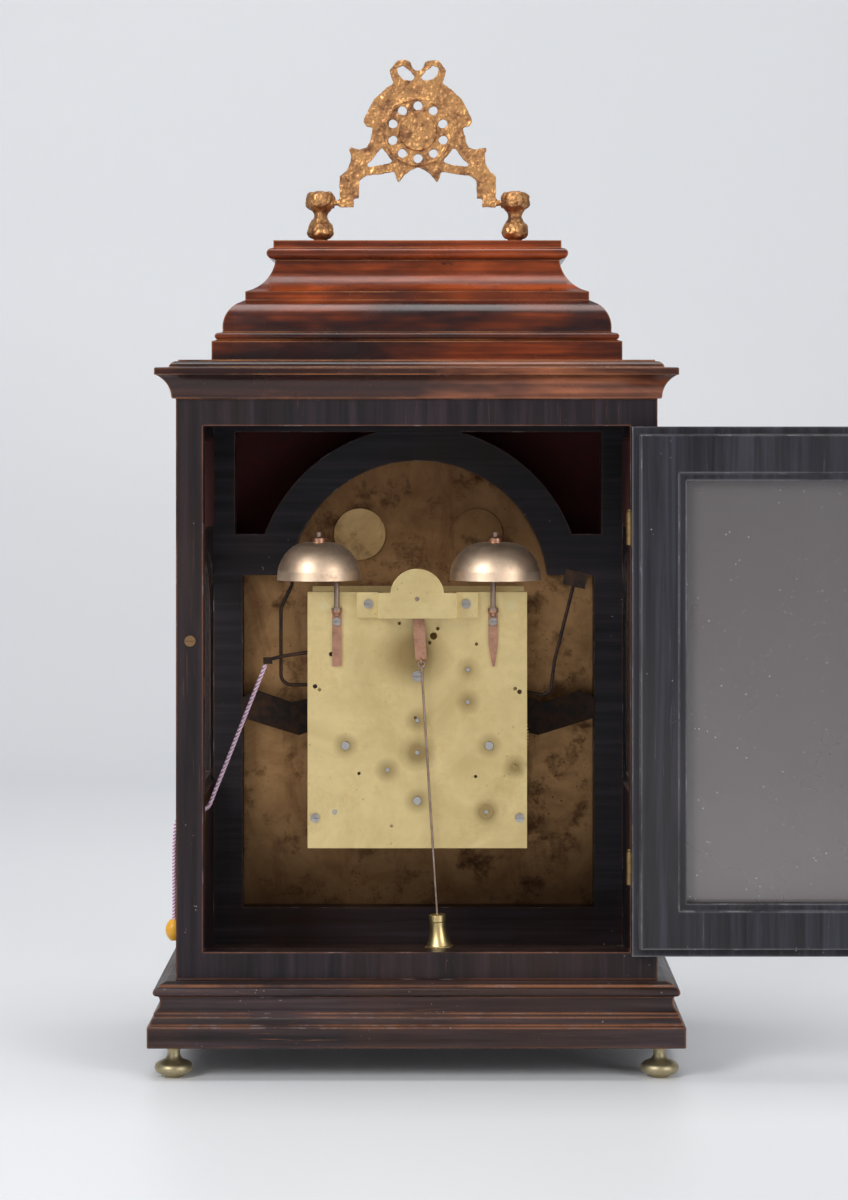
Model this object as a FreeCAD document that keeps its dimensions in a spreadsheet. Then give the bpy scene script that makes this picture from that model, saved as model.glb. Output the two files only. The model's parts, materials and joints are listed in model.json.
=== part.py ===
import FreeCAD, Part
import math
import os
import Sketcher

# A bracket clock with a pull repeat, built piece by piece.
# Lengths are millimetres, angles degrees. +Z is up, the dial looks along -Y, the rear door is
# at +Y. Pieces are drawn about the middle of the case at table height, and every finished
# sub-part is then moved so that the origin lies under the middle of the whole clock.

V = FreeCAD.Vector

# Driving dimensions. Every other length in this file is worked out from these.
SIZES = {
    # feet and plinth
    "foot_height": 17.5,
    "foot_radius": 10.45,
    "foot_inset": 13.5,
    "base_height": 34.9,
    "base_reach": 14.5,
    # carcass
    "case_width": 261.5,
    "case_depth": 170.0,
    "side_thick": 12.1,
    "board_thick": 8.0,
    "back_frame_thick": 14.0,
    "back_stile": 14.8,
    "back_rail": 14.9,
    "cornice_height": 21.1,
    "cornice_reach": 10.9,
    "top_height": 68.0,
    "top_foot_inset": 18.05,
    "top_slab_inset": 47.95,
    "top_wall": 8.0,
    # side openings
    "window_low": 100.0,
    "window_height": 124.0,
    "window_width": 90.0,
    "fret_low": 248.6,
    "fret_height": 40.0,
    "pane_thick": 2.0,
    "pane_lap": 5.0,
    "pane_play": 0.15,
    # dial, its mask frame and the plates of the movement
    "dial_depth": 127.0,
    "mask_thick": 13.5,
    "sight_width": 203.2,
    "sight_sill": 22.3,
    "shoulder_rise": 96.1,
    "arch_radius": 75.3,
    "arch_rise": 87.0,
    "arch_ring": 19.7,
    "top_rail": 14.9,
    "shoulder_height": 23.8,
    "spandrel_edge": 12.6,
    "spandrel_reach": 0.968,
    "dial_thick": 2.2,
    "dial_lap": 1.5,
    "chapter_outer": 92.0,
    "chapter_inner": 64.0,
    "chapter_thick": 1.6,
    "plate_width": 122.4,
    "plate_height": 142.9,
    "plate_lift": 65.4,
    "plate_thick": 2.5,
    "plate_gap": 66.0,
    "plate_depth": 45.0,
    # trains: centres are given from the centre arbor, teeth by their module
    "centre_lift": 118.6,
    "winder_span": 80.0,
    "winder_rise": 4.0,
    "great_module": 0.6,
    "second_module": 0.55,
    "fine_module": 0.5,
    "wheel_thick": 2.0,
    "fusee_large": 17.0,
    "fusee_small": 8.0,
    "barrel_radius": 15.0,
    "barrel_length": 50.0,
    "going_barrel_out": 46.0,
    "strike_barrel_out": 38.4,
    "barrel_drop": 33.0,
    "arbor_radius": 1.5,
    "pivot_radius": 1.2,
    "pivot_play": 0.08,
    "arbor_end": 2.3,
    "arbor_end_out": 0.7,
    "minute_drop": 26.7,
    "minute_pipe": 2.7,
    "hour_pipe": 4.2,
    "winder_collar": 2.4,
    "verge_rise": 86.3,
    "crown_radius": 14.0,
    "crown_height": 10.0,
    # pendulum
    "rod_radius": 0.65,
    "pendulum_reach": 195.8,
    "bob_height": 20.0,
    "bob_radius": 7.75,
    "rest_tilt": 3.6,
    # bells and hammers: the bells stand on the back plate, their rims just over its top
    "left_bell_radius": 23.5,
    "left_bell_out": 55.1,
    "right_bell_radius": 25.5,
    "right_bell_out": 43.6,
    "bell_rim_lift": 6.5,
    "bell_depth": 51.0,
    "bell_wall": 1.8,
    "bell_rise": 21.0,
    "hammer_wire": 1.0,
    # doors and hinges
    "door_gap": 0.4,
    "back_door_thick": 17.5,
    "back_door_step": 4.5,
    "door_member": 29.0,
    "glass_thick": 2.2,
    "front_door_thick": 17.5,
    "front_sight_width": 194.0,
    "front_arch_radius": 71.0,
    "knuckle_radius": 2.2,
    "hinge_pin_radius": 1.0,
    "leaf_thick": 1.2,
    "leaf_width": 11.0,
    "hinge_length": 18.0,
    # handle
    "pillar_span": 110.9,
    "pillar_height": 30.9,
    "pillar_radius": 9.1,
    "handle_height": 85.0,
    "handle_thick": 5.0,
    "handle_pivot_lift": 23.5,
    "handle_pivot_radius": 2.2,
    # pull cord
    "cord_radius": 1.1,
    "bead_radius": 4.8,
}

BACK_DOOR_OPEN = 180.0
SCREW_HEAD = (3.0, 1.6)
SLOT = (0.6, 0.7)

doc = FreeCAD.newDocument("bracket_clock")
sheet = doc.addObject("Spreadsheet::Sheet", "Sizes")
nodes = {}
carvings = []


# ---------------------------------------------------------------- sizes

class Size:
    """A number together with the sheet expression that gives it."""

    def __init__(self, value, text):
        self.value = float(value)
        self.text = text

    def __add__(self, other):
        other = as_size(other)
        return Size(self.value + other.value, "(%s + %s)" % (self.text, other.text))

    def __radd__(self, other):
        return as_size(other) + self

    def __sub__(self, other):
        other = as_size(other)
        return Size(self.value - other.value, "(%s - %s)" % (self.text, other.text))

    def __rsub__(self, other):
        return as_size(other) - self

    def __mul__(self, other):
        other = as_size(other)
        return Size(self.value * other.value, "(%s * %s)" % (self.text, other.text))

    def __rmul__(self, other):
        return as_size(other) * self

    def __truediv__(self, other):
        other = as_size(other)
        return Size(self.value / other.value, "(%s / %s)" % (self.text, other.text))

    def __neg__(self):
        return Size(-self.value, "(-%s)" % self.text)

    def __float__(self):
        return self.value


def as_size(number):
    if isinstance(number, Size):
        return number
    return Size(number, "(%r)" % round(float(number), 6))


def root(size):
    size = as_size(size)
    return Size(math.sqrt(size.value), "sqrt(%s)" % size.text)


def bind(thing, name, size):
    """Tie one property of a thing to the sheet."""
    size = as_size(size)
    thing.setExpression(name, size.text)


class Named:
    """The driving dimensions as attributes."""


S = Named()
for row, (alias, number) in enumerate(SIZES.items(), start=1):
    sheet.set("A%d" % row, alias.replace("_", " "))
    sheet.set("B%d" % row, str(number))
    sheet.setAlias("B%d" % row, alias)
    setattr(S, alias, Size(number, "Sizes." + alias))
doc.recompute()


# ---------------------------------------------------------------- making pieces

TURN = {
    "X": FreeCAD.Rotation(V(0, 1, 0), 90),
    "Y": FreeCAD.Rotation(V(1, 0, 0), -90),
    "Z": FreeCAD.Rotation(),
}
PLANES = {"X": ("YZ_Plane", 1), "Y": ("XZ_Plane", -1), "Z": ("XY_Plane", 1)}


def keep(label, piece):
    """Make a piece one of the clock's named sub-parts, moved to the clock's own origin."""
    piece.Label = label + " as drawn"
    moved = doc.addObject("Part::Compound", label + "_moved")
    moved.Links = [piece]
    moved.Label = label
    place(moved, (-middle_x, -middle_y, 0))
    nodes[label] = moved


def place(piece, at, axis="Z"):
    """Put a piece at a point, with its own Z axis along the given axis."""
    piece.Placement = FreeCAD.Placement(V(), TURN[axis])
    for letter, size in zip("xyz", at):
        bind(piece, "Placement.Base." + letter, size)
    return piece


def box(name, low, high):
    """A board or block between two opposite corners."""
    piece = doc.addObject("Part::Box", name)
    for side, a, b in zip(("Length", "Width", "Height"), low, high):
        bind(piece, side, as_size(b) - a)
    return place(piece, low)


def cylinder(name, axis, start, length, radius):
    piece = doc.addObject("Part::Cylinder", name)
    bind(piece, "Radius", radius)
    bind(piece, "Height", length)
    return place(piece, start, axis)


def cone(name, axis, start, length, first, last):
    piece = doc.addObject("Part::Cone", name)
    bind(piece, "Radius1", first)
    bind(piece, "Radius2", last)
    bind(piece, "Height", length)
    return place(piece, start, axis)


def fuse(name, pieces):
    whole = doc.addObject("Part::MultiFuse", name)
    whole.Shapes = pieces
    return whole


def cut(name, base, tools):
    tool = tools[0]
    if len(tools) > 1:
        tool = fuse(name + "_tool", tools)
    piece = doc.addObject("Part::Cut", name)
    piece.Base = base
    piece.Tool = tool
    return piece


def common(name, pieces):
    whole = doc.addObject("Part::MultiCommon", name)
    whole.Shapes = pieces
    return whole


def group(name, pieces):
    """Like pieces that share a node, each still a solid of its own."""
    whole = doc.addObject("Part::Compound", name)
    whole.Links = pieces
    return whole


def formed(name, shape, at=(0, 0, 0), axis="Z"):
    """A piece whose form comes from a formula or a free outline."""
    piece = doc.addObject("Part::Feature", name)
    piece.Shape = Part.makeCompound([shape])
    return place(piece, at, axis)


def new_body(name):
    return doc.addObject("PartDesign::Body", name)


def bulge_radius(a, b, bulge):
    """Radius of the arc from a to b; bulge is the tangent of a quarter of its turn."""
    chord = root((b[0] - as_size(a[0])) * (b[0] - as_size(a[0]))
                 + (b[1] - as_size(a[1])) * (b[1] - as_size(a[1])))
    return chord * ((1 + bulge * bulge) / (4 * abs(bulge)))


def bulge_middle(a, b, bulge):
    """Middle point of that arc; a positive bulge turns anticlockwise."""
    ax, ay, bx, by = (float(as_size(c)) for c in (a[0], a[1], b[0], b[1]))
    return V((ax + bx) / 2 + (by - ay) * bulge / 2, (ay + by) / 2 - (bx - ax) * bulge / 2, 0)


def add_loop(sketch, points):
    """A closed outline of lines and arcs, every corner tied to the sheet."""
    first = sketch.GeometryCount
    count = len(points)
    rules = []
    ties = []
    ends = []
    for i, point in enumerate(points):
        after = points[(i + 1) % count]
        bulge = point[2] if len(point) > 2 else 0
        a = V(float(as_size(point[0])), float(as_size(point[1])), 0)
        b = V(float(as_size(after[0])), float(as_size(after[1])), 0)
        if bulge:
            edge = Part.Arc(a, bulge_middle(point, after, bulge), b)
        else:
            edge = Part.LineSegment(a, b)
        sketch.addGeometry(edge, False)
        ends.append((1, 2) if bulge >= 0 else (2, 1))
    for i, point in enumerate(points):
        after = (i + 1) % count
        rules.append(Sketcher.Constraint("Coincident", first + i, ends[i][1],
                                         first + after, ends[after][0]))
    for i, point in enumerate(points):
        for kind, size in zip(("DistanceX", "DistanceY"), point[:2]):
            size = as_size(size)
            ties.append((len(rules), size))
            rules.append(Sketcher.Constraint(kind, -1, 1, first + i, ends[i][0], size.value))
        if len(point) > 2 and abs(point[2]) == 1:
            middle = as_size(point[1])
            ties.append((len(rules), middle))
            rules.append(Sketcher.Constraint("DistanceY", -1, 1, first + i, 3, middle.value))
        elif len(point) > 2 and point[2]:
            radius = bulge_radius(point, points[(i + 1) % count], point[2])
            ties.append((len(rules), radius))
            rules.append(Sketcher.Constraint("Radius", first + i, radius.value))
    before = sketch.ConstraintCount
    sketch.addConstraint(rules)
    for index, size in ties:
        bind(sketch, "Constraints[%d]" % (before + index), size)


def add_circle(sketch, centre, radius):
    number = sketch.GeometryCount
    before = sketch.ConstraintCount
    sizes = [as_size(centre[0]), as_size(centre[1]), as_size(radius)]
    middle = V(sizes[0].value, sizes[1].value, 0)
    sketch.addGeometry(Part.Circle(middle, V(0, 0, 1), sizes[2].value), False)
    sketch.addConstraint([
        Sketcher.Constraint("DistanceX", -1, 1, number, 3, sizes[0].value),
        Sketcher.Constraint("DistanceY", -1, 1, number, 3, sizes[1].value),
        Sketcher.Constraint("Radius", number, sizes[2].value),
    ])
    for index, size in enumerate(sizes):
        bind(sketch, "Constraints[%d]" % (before + index), size)


def draw(body, role, loops, offset=0):
    """A sketch on one of the body's own planes. A loop is a list of points or a circle."""
    face = [item for item in body.Origin.OriginFeatures if item.Role == role][0]
    sketch = body.newObject("Sketcher::SketchObject", body.Name + "_sketch")
    sketch.AttachmentSupport = (face, [""])
    sketch.MapMode = "FlatFace"
    bind(sketch, "AttachmentOffset.Base.z", offset)
    for loop in loops:
        if isinstance(loop, tuple):
            add_circle(sketch, loop[:2], loop[2])
        else:
            add_loop(sketch, loop)
    return sketch


def raise_from(body, axis, loops, low, high):
    """Pad an outline between two levels of an axis."""
    role, sense = PLANES[axis]
    start = as_size(low) if sense > 0 else -as_size(high)
    sketch = draw(body, role, loops, start)
    feature = body.newObject("PartDesign::Pad", body.Name + "_pad")
    feature.Profile = sketch
    bind(feature, "Length", as_size(high) - low)
    body.Tip = feature
    return body


def carve(body, axis, loops, low, high):
    """Pocket an outline between two levels of an axis."""
    role, sense = PLANES[axis]
    start = as_size(high) if sense > 0 else -as_size(low)
    sketch = draw(body, role, loops, start)
    feature = body.newObject("PartDesign::Pocket", body.Name + "_pocket")
    feature.Profile = sketch
    bind(feature, "Length", as_size(high) - low)
    body.Tip = feature
    carvings.append(feature)
    return body


def repeat(body, count, length):
    """Repeat the body's last pocket along the horizontal axis of its sketch."""
    pocket = body.Tip
    pattern = body.newObject("PartDesign::LinearPattern", body.Name + "_pattern")
    pattern.Originals = [pocket]
    pattern.Direction = (pocket.Profile[0], ["H_Axis"])
    pattern.Occurrences = count
    bind(pattern, "Length", length)
    body.Tip = pattern
    return body


def slab(name, axis, loops, low, high):
    return raise_from(new_body(name), axis, loops, low, high)


def turned(name, profile, at=(0, 0, 0), axis="Z"):
    """A lathe-turned piece from its (radius, height) outline."""
    body = new_body(name)
    sketch = draw(body, "XZ_Plane", [profile])
    feature = body.newObject("PartDesign::Revolution", name + "_turning")
    feature.Profile = sketch
    feature.ReferenceAxis = (sketch, ["V_Axis"])
    feature.Angle = 360
    body.Tip = feature
    return place(body, at, axis)


def rectangle(left, right, low, high):
    return [(left, low), (right, low), (right, high), (left, high)]


def fitted(points, drawn, sizes):
    """Scale an outline from the width and height it is drawn at to the sizes it gets."""
    scaled = []
    for point in points:
        across = point[0] * (as_size(sizes[0]) / drawn[0])
        up = point[1] * (as_size(sizes[1]) / drawn[1])
        scaled.append((across, up) + tuple(point[2:]))
    return scaled


def moulded_block(name, half_width, half_depth, low, profile):
    """A block with one moulding worked round its four sides and mitred at the corners.

    The profile lists (reach beyond the half width, height above low, bulge)."""
    halves = []
    for axis, half, long in (("Y", half_width, half_depth), ("X", half_depth, half_width)):
        right = [(half + p[0], low + p[1]) + tuple(p[2:]) for p in profile]
        left = []
        for i, p in reversed(list(enumerate(profile))):
            bulge = profile[i - 1][2] if i and len(profile[i - 1]) > 2 else 0
            left.append((-(half + p[0]), low + p[1], bulge))
        far = long + S.case_width
        halves.append(slab(name + "_run", axis, [right + left], -far, far))
    return common(name, halves)


def pipe(points, radius, bend=None):
    """A round rod along straight runs joined by tangent arcs."""
    points = [V(*(float(as_size(c)) for c in p)) for p in points]
    radius = float(as_size(radius))
    edges = []
    radii = []
    start = points[0]
    for before, corner, after in zip(points, points[1:], points[2:]):
        inward = (corner - before).normalize()
        outward = (after - corner).normalize()
        turn = inward.getAngle(outward)
        trim = 0.45 * min((corner - before).Length, (after - corner).Length)
        if bend:
            trim = min(trim, bend * math.tan(turn / 2))
        arc_radius = trim / math.tan(turn / 2)
        first = corner - inward * trim
        last = corner + outward * trim
        centre_way = (outward - inward).normalize()
        centre = corner + centre_way * (arc_radius / math.cos(turn / 2))
        edges.append(Part.LineSegment(start, first).toShape())
        edges.append(Part.Arc(first, centre - centre_way * arc_radius, last).toShape())
        radii.append(arc_radius)
        start = last
    edges.append(Part.LineSegment(start, points[-1]).toShape())
    path = Part.Wire(edges)
    ring = Part.Wire(Part.makeCircle(radius, points[0], points[1] - points[0]))
    solid = path.makePipeShell([ring], True, False)
    return solid, radii, path.Length


# ---------------------------------------------------------------- places

base_top = S.foot_height + S.base_height
centre_z = base_top + S.centre_lift
arch_z = centre_z + S.arch_rise
shoulder_z = centre_z + S.shoulder_rise
case_top = arch_z + S.arch_radius + S.arch_ring + S.top_rail
cornice_top = case_top + S.cornice_height
clock_top = cornice_top + S.top_height
half_w = S.case_width / 2
half_d = S.case_depth / 2
inner_w = half_w - S.side_thick
rear = half_d
front = -half_d
side_front = front + S.front_door_thick + S.door_gap
dial_back = rear - S.dial_depth
dial_front = dial_back - S.dial_thick
mask_back = dial_back + S.mask_thick
opening_half = half_w - S.back_stile
opening_low = base_top + S.back_rail
opening_high = case_top - S.back_rail
knuckle_stand = S.knuckle_radius + 0.3
back_hinge_x = -(opening_half - S.door_gap / 2)
back_hinge_y = rear + knuckle_stand
back_hinge_z = [base_top + 60.8, base_top + 244.9]
front_hinge_x = half_w + knuckle_stand
front_hinge_y = side_front - S.door_gap / 2
front_hinge_z = [base_top + 50, case_top - 50]

# The middle of the whole clock, from the open rear door's edge to the plinth.
open_edge_x = back_hinge_x * 2 - (opening_half - S.door_gap)
open_face_y = back_hinge_y * 2 - (rear - S.back_door_thick)
middle_x = (half_w + S.base_reach + open_edge_x) / 2
middle_y = (open_face_y - half_d - S.base_reach) / 2

back_plate_rear = rear - S.plate_depth
back_plate_front = back_plate_rear - S.plate_thick
front_plate_rear = back_plate_front - S.plate_gap
front_plate_front = front_plate_rear - S.plate_thick
plate_low = base_top + S.plate_lift
plate_top = plate_low + S.plate_height
winder_x = S.winder_span / 2
winder_z = centre_z + S.winder_rise
verge_z = centre_z + S.verge_rise


def meeting_point(a, reach_a, b, reach_b, side):
    """The point at the given distances from a and b, on one side of the line between them."""
    ax, az, bx, bz = (as_size(c) for c in (a[0], a[1], b[0], b[1]))
    apart = root((bx - ax) * (bx - ax) + (bz - az) * (bz - az))
    along = (reach_a * reach_a - reach_b * reach_b + apart * apart) / (apart * 2)
    across = root(reach_a * reach_a - along * along) * side
    ux, uz = (bx - ax) / apart, (bz - az) / apart
    return (ax + along * ux - across * uz, az + along * uz + across * ux)


def pitch_radius(teeth, module):
    return module * (teeth / 2)


def facing(a, b):
    """Angle of the line from a to b, seen from behind the axis that points to +Y."""
    ax, az, bx, bz = (float(as_size(c)) for c in (a[0], a[1], b[0], b[1]))
    return math.degrees(math.atan2(-(bz - az), bx - ax))


# Tooth counts of the trains.
GREAT_TEETH = 78
SECOND_LEAVES = 12
SECOND_TEETH = 60
CENTRE_LEAVES = 10
CENTRE_TEETH = 64
CONTRATE_LEAVES = 8
CONTRATE_TEETH = 48
CROWN_LEAVES = 8
CROWN_TEETH = 31
PIN_TEETH = 64
FLY_LEAVES = 8
CANNON_TEETH = 24
MINUTE_TEETH = 48
MINUTE_LEAVES = 8
HOUR_TEETH = 48

great_radius = pitch_radius(GREAT_TEETH, S.great_module)
second_pinion = pitch_radius(SECOND_LEAVES, S.great_module)
second_radius = pitch_radius(SECOND_TEETH, S.second_module)
centre_pinion = pitch_radius(CENTRE_LEAVES, S.second_module)
centre_radius = pitch_radius(CENTRE_TEETH, S.fine_module)
contrate_pinion = pitch_radius(CONTRATE_LEAVES, S.fine_module)
pin_radius = pitch_radius(PIN_TEETH, S.fine_module)
fly_pinion = pitch_radius(FLY_LEAVES, S.fine_module)
cannon_module = S.minute_drop / ((CANNON_TEETH + MINUTE_TEETH) / 2)
hour_module = S.minute_drop / ((MINUTE_LEAVES + HOUR_TEETH) / 2)
contrate_module = S.fine_module * 1.08

centre_at = (as_size(0), centre_z)
going_at = (winder_x, winder_z)
strike_at = (-winder_x, winder_z)
second_at = meeting_point(going_at, great_radius + second_pinion,
                          centre_at, second_radius + centre_pinion, 1)
contrate_at = (as_size(0), centre_z + centre_radius + contrate_pinion)
pin_at = (strike_at[0] + (great_radius + second_pinion) * 0.435,
          strike_at[1] + (great_radius + second_pinion) * 0.9)
fly_at = (pin_at[0], pin_at[1] + pin_radius + fly_pinion)
minute_at = (as_size(0), centre_z - S.minute_drop)
going_barrel_at = (S.going_barrel_out, centre_z - S.barrel_drop)
strike_barrel_at = (-S.strike_barrel_out, centre_z - S.barrel_drop)
verge_at = (as_size(0), verge_z)
left_hammer_at = (S.plate_width / 2 - 4.2, centre_z + 37)
right_hammer_at = (-(S.plate_width / 2 - 4.2), centre_z + 34)
lever_at = (S.plate_width / 2 - 13.2, centre_z + 55)
WINDERS = [going_at, strike_at]
THROUGH = [centre_at, minute_at]
BETWEEN = [second_at, contrate_at, pin_at, fly_at, going_barrel_at, strike_barrel_at,
           left_hammer_at, right_hammer_at, lever_at]


# ---------------------------------------------------------------- case

def feet():
    """Four turned buttons with a thin neck, standing in from the corners of the plinth."""
    profile = [(0, 0), (4.6, 0), (5.6, 1.2), (8.6, 2.4, 0.3), (10.45, 5.4, 0.3), (8.4, 8.2),
               (5.2, 9.6, -0.25), (3.35, 13.0, -0.3), (5.6, 17.5), (0, 17.5)]
    outline = fitted(profile, (10.45, 17.5), (S.foot_radius, S.foot_height))
    out_x = half_w + S.base_reach - S.foot_inset
    out_y = half_d + S.base_reach - S.foot_inset
    pieces = []
    for sx in (-1, 1):
        for sy in (-1, 1):
            pieces.append(turned("foot", outline, (out_x * sx, out_y * sy, 0)))
    keep("turned_feet", group("turned_feet", pieces))


def plinth():
    profile = [(13.5, 0, 0.41), (14.5, 1.0), (14.5, 11.3), (13.7, 11.9), (12.6, 12.3, 0.35),
               (11.6, 15.9), (11.1, 16.3), (11.1, 18.6), (10.4, 19.0, -0.32), (8.6, 27.0),
               (9.4, 27.4, 0.95), (9.4, 32.0), (8.4, 32.3), (8.4, 33.3), (5.0, 34.9)]
    outline = fitted(profile, (14.5, 34.9), (S.base_reach, S.base_height))
    block = moulded_block("plinth_block", half_w, half_d, S.foot_height, outline)
    recess = box("floor_recess", (-inner_w, side_front, base_top - S.board_thick),
                 (inner_w, rear - S.back_frame_thick, base_top + 1))
    keep("base_plinth", cut("base_plinth", block, [recess]))


def boards():
    """The floor board let into the plinth and the roof board under the cornice."""
    floor = box("floor_board", (-inner_w, side_front, base_top - S.board_thick),
                (inner_w, rear - S.back_frame_thick, base_top))
    roof = box("roof_board", (-half_w, front, case_top), (half_w, rear, case_top + S.board_thick))
    keep("floor_and_roof", group("floor_and_roof", [floor, roof]))


def cornice():
    profile = [(2.0, 0), (2.4, 1.0, -0.28), (10.0, 12.6), (10.9, 12.8), (10.9, 16.0, 0.3),
               (10.2, 16.7), (3.6, 17.1, 0.3), (0.4, 20.2), (-1.2, 20.4), (-1.2, 21.1)]
    outline = fitted(profile, (10.9, 21.1), (S.cornice_reach, S.cornice_height))
    block = moulded_block("cornice_block", half_w, half_d, case_top, outline)
    recess = box("roof_recess", (-half_w, front, case_top - 1),
                 (half_w, rear, case_top + S.board_thick))
    keep("cornice", cut("cornice", block, [recess]))


def bell_top():
    """The stepped and hollow-sided top, its insets measured in from the carcass."""
    profile = [(0, 0), (0, 10.6), (3.0, 11.6, 0.8), (3.0, 15.2), (5.5, 15.7), (5.7, 16.9, 0.28),
               (12.6, 31.6), (17.4, 33.9), (17.4, 38.6), (18.2, 39.0, -0.3), (33.3, 57.0),
               (30.6, 57.9, 0.75), (30.6, 63.4), (32.2, 63.9), (32.2, 68.0)]
    outline = fitted([(-p[0],) + p[1:] for p in profile], (29.9, 68.0),
                     (S.top_slab_inset - S.top_foot_inset, S.top_height))
    block = moulded_block("top_block", half_w - S.top_foot_inset, half_d - S.top_foot_inset,
                          cornice_top, outline)
    inset = S.top_slab_inset + 4 + S.top_wall
    hollow = box("top_hollow", (-(half_w - inset), -(half_d - inset), cornice_top - 1),
                 (half_w - inset, half_d - inset, clock_top - S.top_wall - 2))
    holes = []
    for side in (-1, 1):
        holes.append(cylinder("shank_hole", "Z", (S.pillar_span / 2 * side, 0, cornice_top),
                              S.top_height + 1, 2.6))
    keep("bell_top", cut("bell_top", block, [hollow] + holes))


def arched(left, right, low, springing, bulge=1.0):
    """A round-headed opening."""
    return [(left, low), (right, low), (right, springing, bulge), (left, springing)]


WINDOW_Y = 10.0
FRET_COLUMNS = 9
FRET_ROWS = 3


def side_window_loop(lap=0):
    """The round-headed window of a side panel, in (Y, Z)."""
    half = S.window_width / 2 + lap
    low = base_top + S.window_low - lap
    springing = base_top + S.window_low + S.window_height - S.window_width / 2
    return arched(-half + WINDOW_Y, half + WINDOW_Y, low, springing)


def side_fret_loop(lap=0):
    half = S.window_width / 2 + lap
    low = base_top + S.fret_low - lap
    high = base_top + S.fret_low + S.fret_height + lap
    return rectangle(-half + WINDOW_Y, half + WINDOW_Y, low, high)


cord_hole_y = back_plate_front - 2.5
cord_hole_z = centre_z - 33.6


def side_panels():
    for label, sense in (("side_panel_left", 1), ("side_panel_right", -1)):
        low, high = (inner_w, half_w) if sense > 0 else (-half_w, -inner_w)
        outline = rectangle(side_front, rear - S.back_frame_thick, base_top, case_top)
        body = slab(label, "X", [outline], low, high)
        carve(body, "X", [side_window_loop(), side_fret_loop()], low, high)
        inside = (inner_w, inner_w + S.pane_thick) if sense > 0 else (
            -inner_w - S.pane_thick, -inner_w)
        carve(body, "X", [side_window_loop(S.pane_lap), side_fret_loop(S.pane_lap)], *inside)
        if sense > 0:
            carve(body, "X", [(cord_hole_y, cord_hole_z, 5.0)], low, high)
            beds = [rectangle(half_w - S.leaf_width, half_w + 1, z - S.hinge_length / 2,
                              z + S.hinge_length / 2) for z in front_hinge_z]
            carve(body, "Y", beds, side_front, side_front + S.leaf_thick)
        keep(label, body)


def side_fillings():
    """Glass in the side windows and a pierced fret in each small opening above them."""
    panes = []
    frets = []
    lap = S.pane_lap - S.pane_play
    for sense in (1, -1):
        low, high = (inner_w, inner_w + S.pane_thick) if sense > 0 else (
            -inner_w - S.pane_thick, -inner_w)
        panes.append(slab("side_pane", "X", [side_window_loop(lap)], low, high))
        body = slab("side_fret", "X", [side_fret_loop(lap)], low, high)
        pitch = S.window_width / FRET_COLUMNS
        y = WINDOW_Y - S.window_width / 2 + pitch / 2
        across = pitch * 0.32
        slots = []
        for row in range(FRET_ROWS):
            z = base_top + S.fret_low + S.fret_height * ((row + 0.5) / FRET_ROWS)
            up = S.fret_height / (2.8 * FRET_ROWS)
            slots.append([(y - across, z), (y, z - up), (y + across, z), (y, z + up)])
        carve(body, "X", slots, low, high)
        repeat(body, FRET_COLUMNS, S.window_width - pitch)
        frets.append(body)
    keep("side_windows", group("side_windows", panes))
    keep("side_frets", group("side_frets", frets))


# ---------------------------------------------------------------- hinges

def hinge_leaf(name, sense, knuckles, at, turn, gap, height):
    """One butt leaf with its knuckles. The pin runs along Z through the point at.

    Before it is turned the leaves meet face to face across x = 0 and reach along -y."""
    low = -height / 2
    x_low, x_high = (gap, gap + S.leaf_thick) if sense > 0 else (-gap - S.leaf_thick, -gap)
    plate = box(name + "_plate", (x_low, -(knuckle_stand + S.leaf_width), low),
                (x_high, -knuckle_stand, height / 2))
    pieces = [plate]
    share = height / 3
    for number in knuckles:
        start = low + share * number + 0.1
        length = share - 0.2
        pieces.append(box(name + "_neck", (x_low, -knuckle_stand - 0.5, start),
                          (x_high, 0, start + length)))
        pieces.append(cylinder(name + "_knuckle", "Z", (0, 0, start), length, S.knuckle_radius))
    whole = fuse(name + "_blank", pieces)
    bore = cylinder(name + "_bore", "Z", (0, 0, low - 1), height + 2,
                    S.hinge_pin_radius + S.pivot_play)
    leaf = cut(name, whole, [bore])
    leaf.Placement = FreeCAD.Placement(V(), FreeCAD.Rotation(V(0, 0, 1), turn))
    for letter, size in zip("xyz", at):
        bind(leaf, "Placement.Base." + letter, size)
    return leaf


def hinges():
    """Butt hinges: the rear door lies fully open, the front door is shut."""
    case_leaves = []
    pins = []
    rear_leaves = []
    front_leaves = []
    gap = S.door_gap / 2
    for z in back_hinge_z:
        at = (back_hinge_x, back_hinge_y, z)
        case_leaves.append(hinge_leaf("rear_case_leaf", -1, (0, 2), at, 0, gap, S.hinge_length))
        rear_leaves.append(hinge_leaf("rear_door_leaf", 1, (1,), at, BACK_DOOR_OPEN, gap,
                                      S.hinge_length))
        pins.append(hinge_pin(at))
    for z in front_hinge_z:
        at = (front_hinge_x, front_hinge_y, z)
        case_leaves.append(hinge_leaf("front_case_leaf", -1, (0, 2), at, -90, gap,
                                      S.hinge_length))
        front_leaves.append(hinge_leaf("front_door_leaf", 1, (1,), at, -90, gap,
                                       S.hinge_length))
        pins.append(hinge_pin(at))
    keep("hinge_case_leaves", group("hinge_case_leaves", case_leaves))
    keep("hinge_pins", group("hinge_pins", pins))
    keep("back_door_leaves", group("back_door_leaves", rear_leaves))
    keep("front_door_leaves", group("front_door_leaves", front_leaves))


def hinge_pin(at):
    """A pin with a small head, held in the outer knuckles."""
    low = at[2] - S.hinge_length / 2
    shaft = cylinder("hinge_shaft", "Z", (at[0], at[1], low), S.hinge_length + 0.2,
                     S.hinge_pin_radius)
    head = cylinder("hinge_head", "Z", (at[0], at[1], low + S.hinge_length + 0.2), 1.2,
                    S.knuckle_radius * 0.8)
    return fuse("hinge_pin", [shaft, head])


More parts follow.
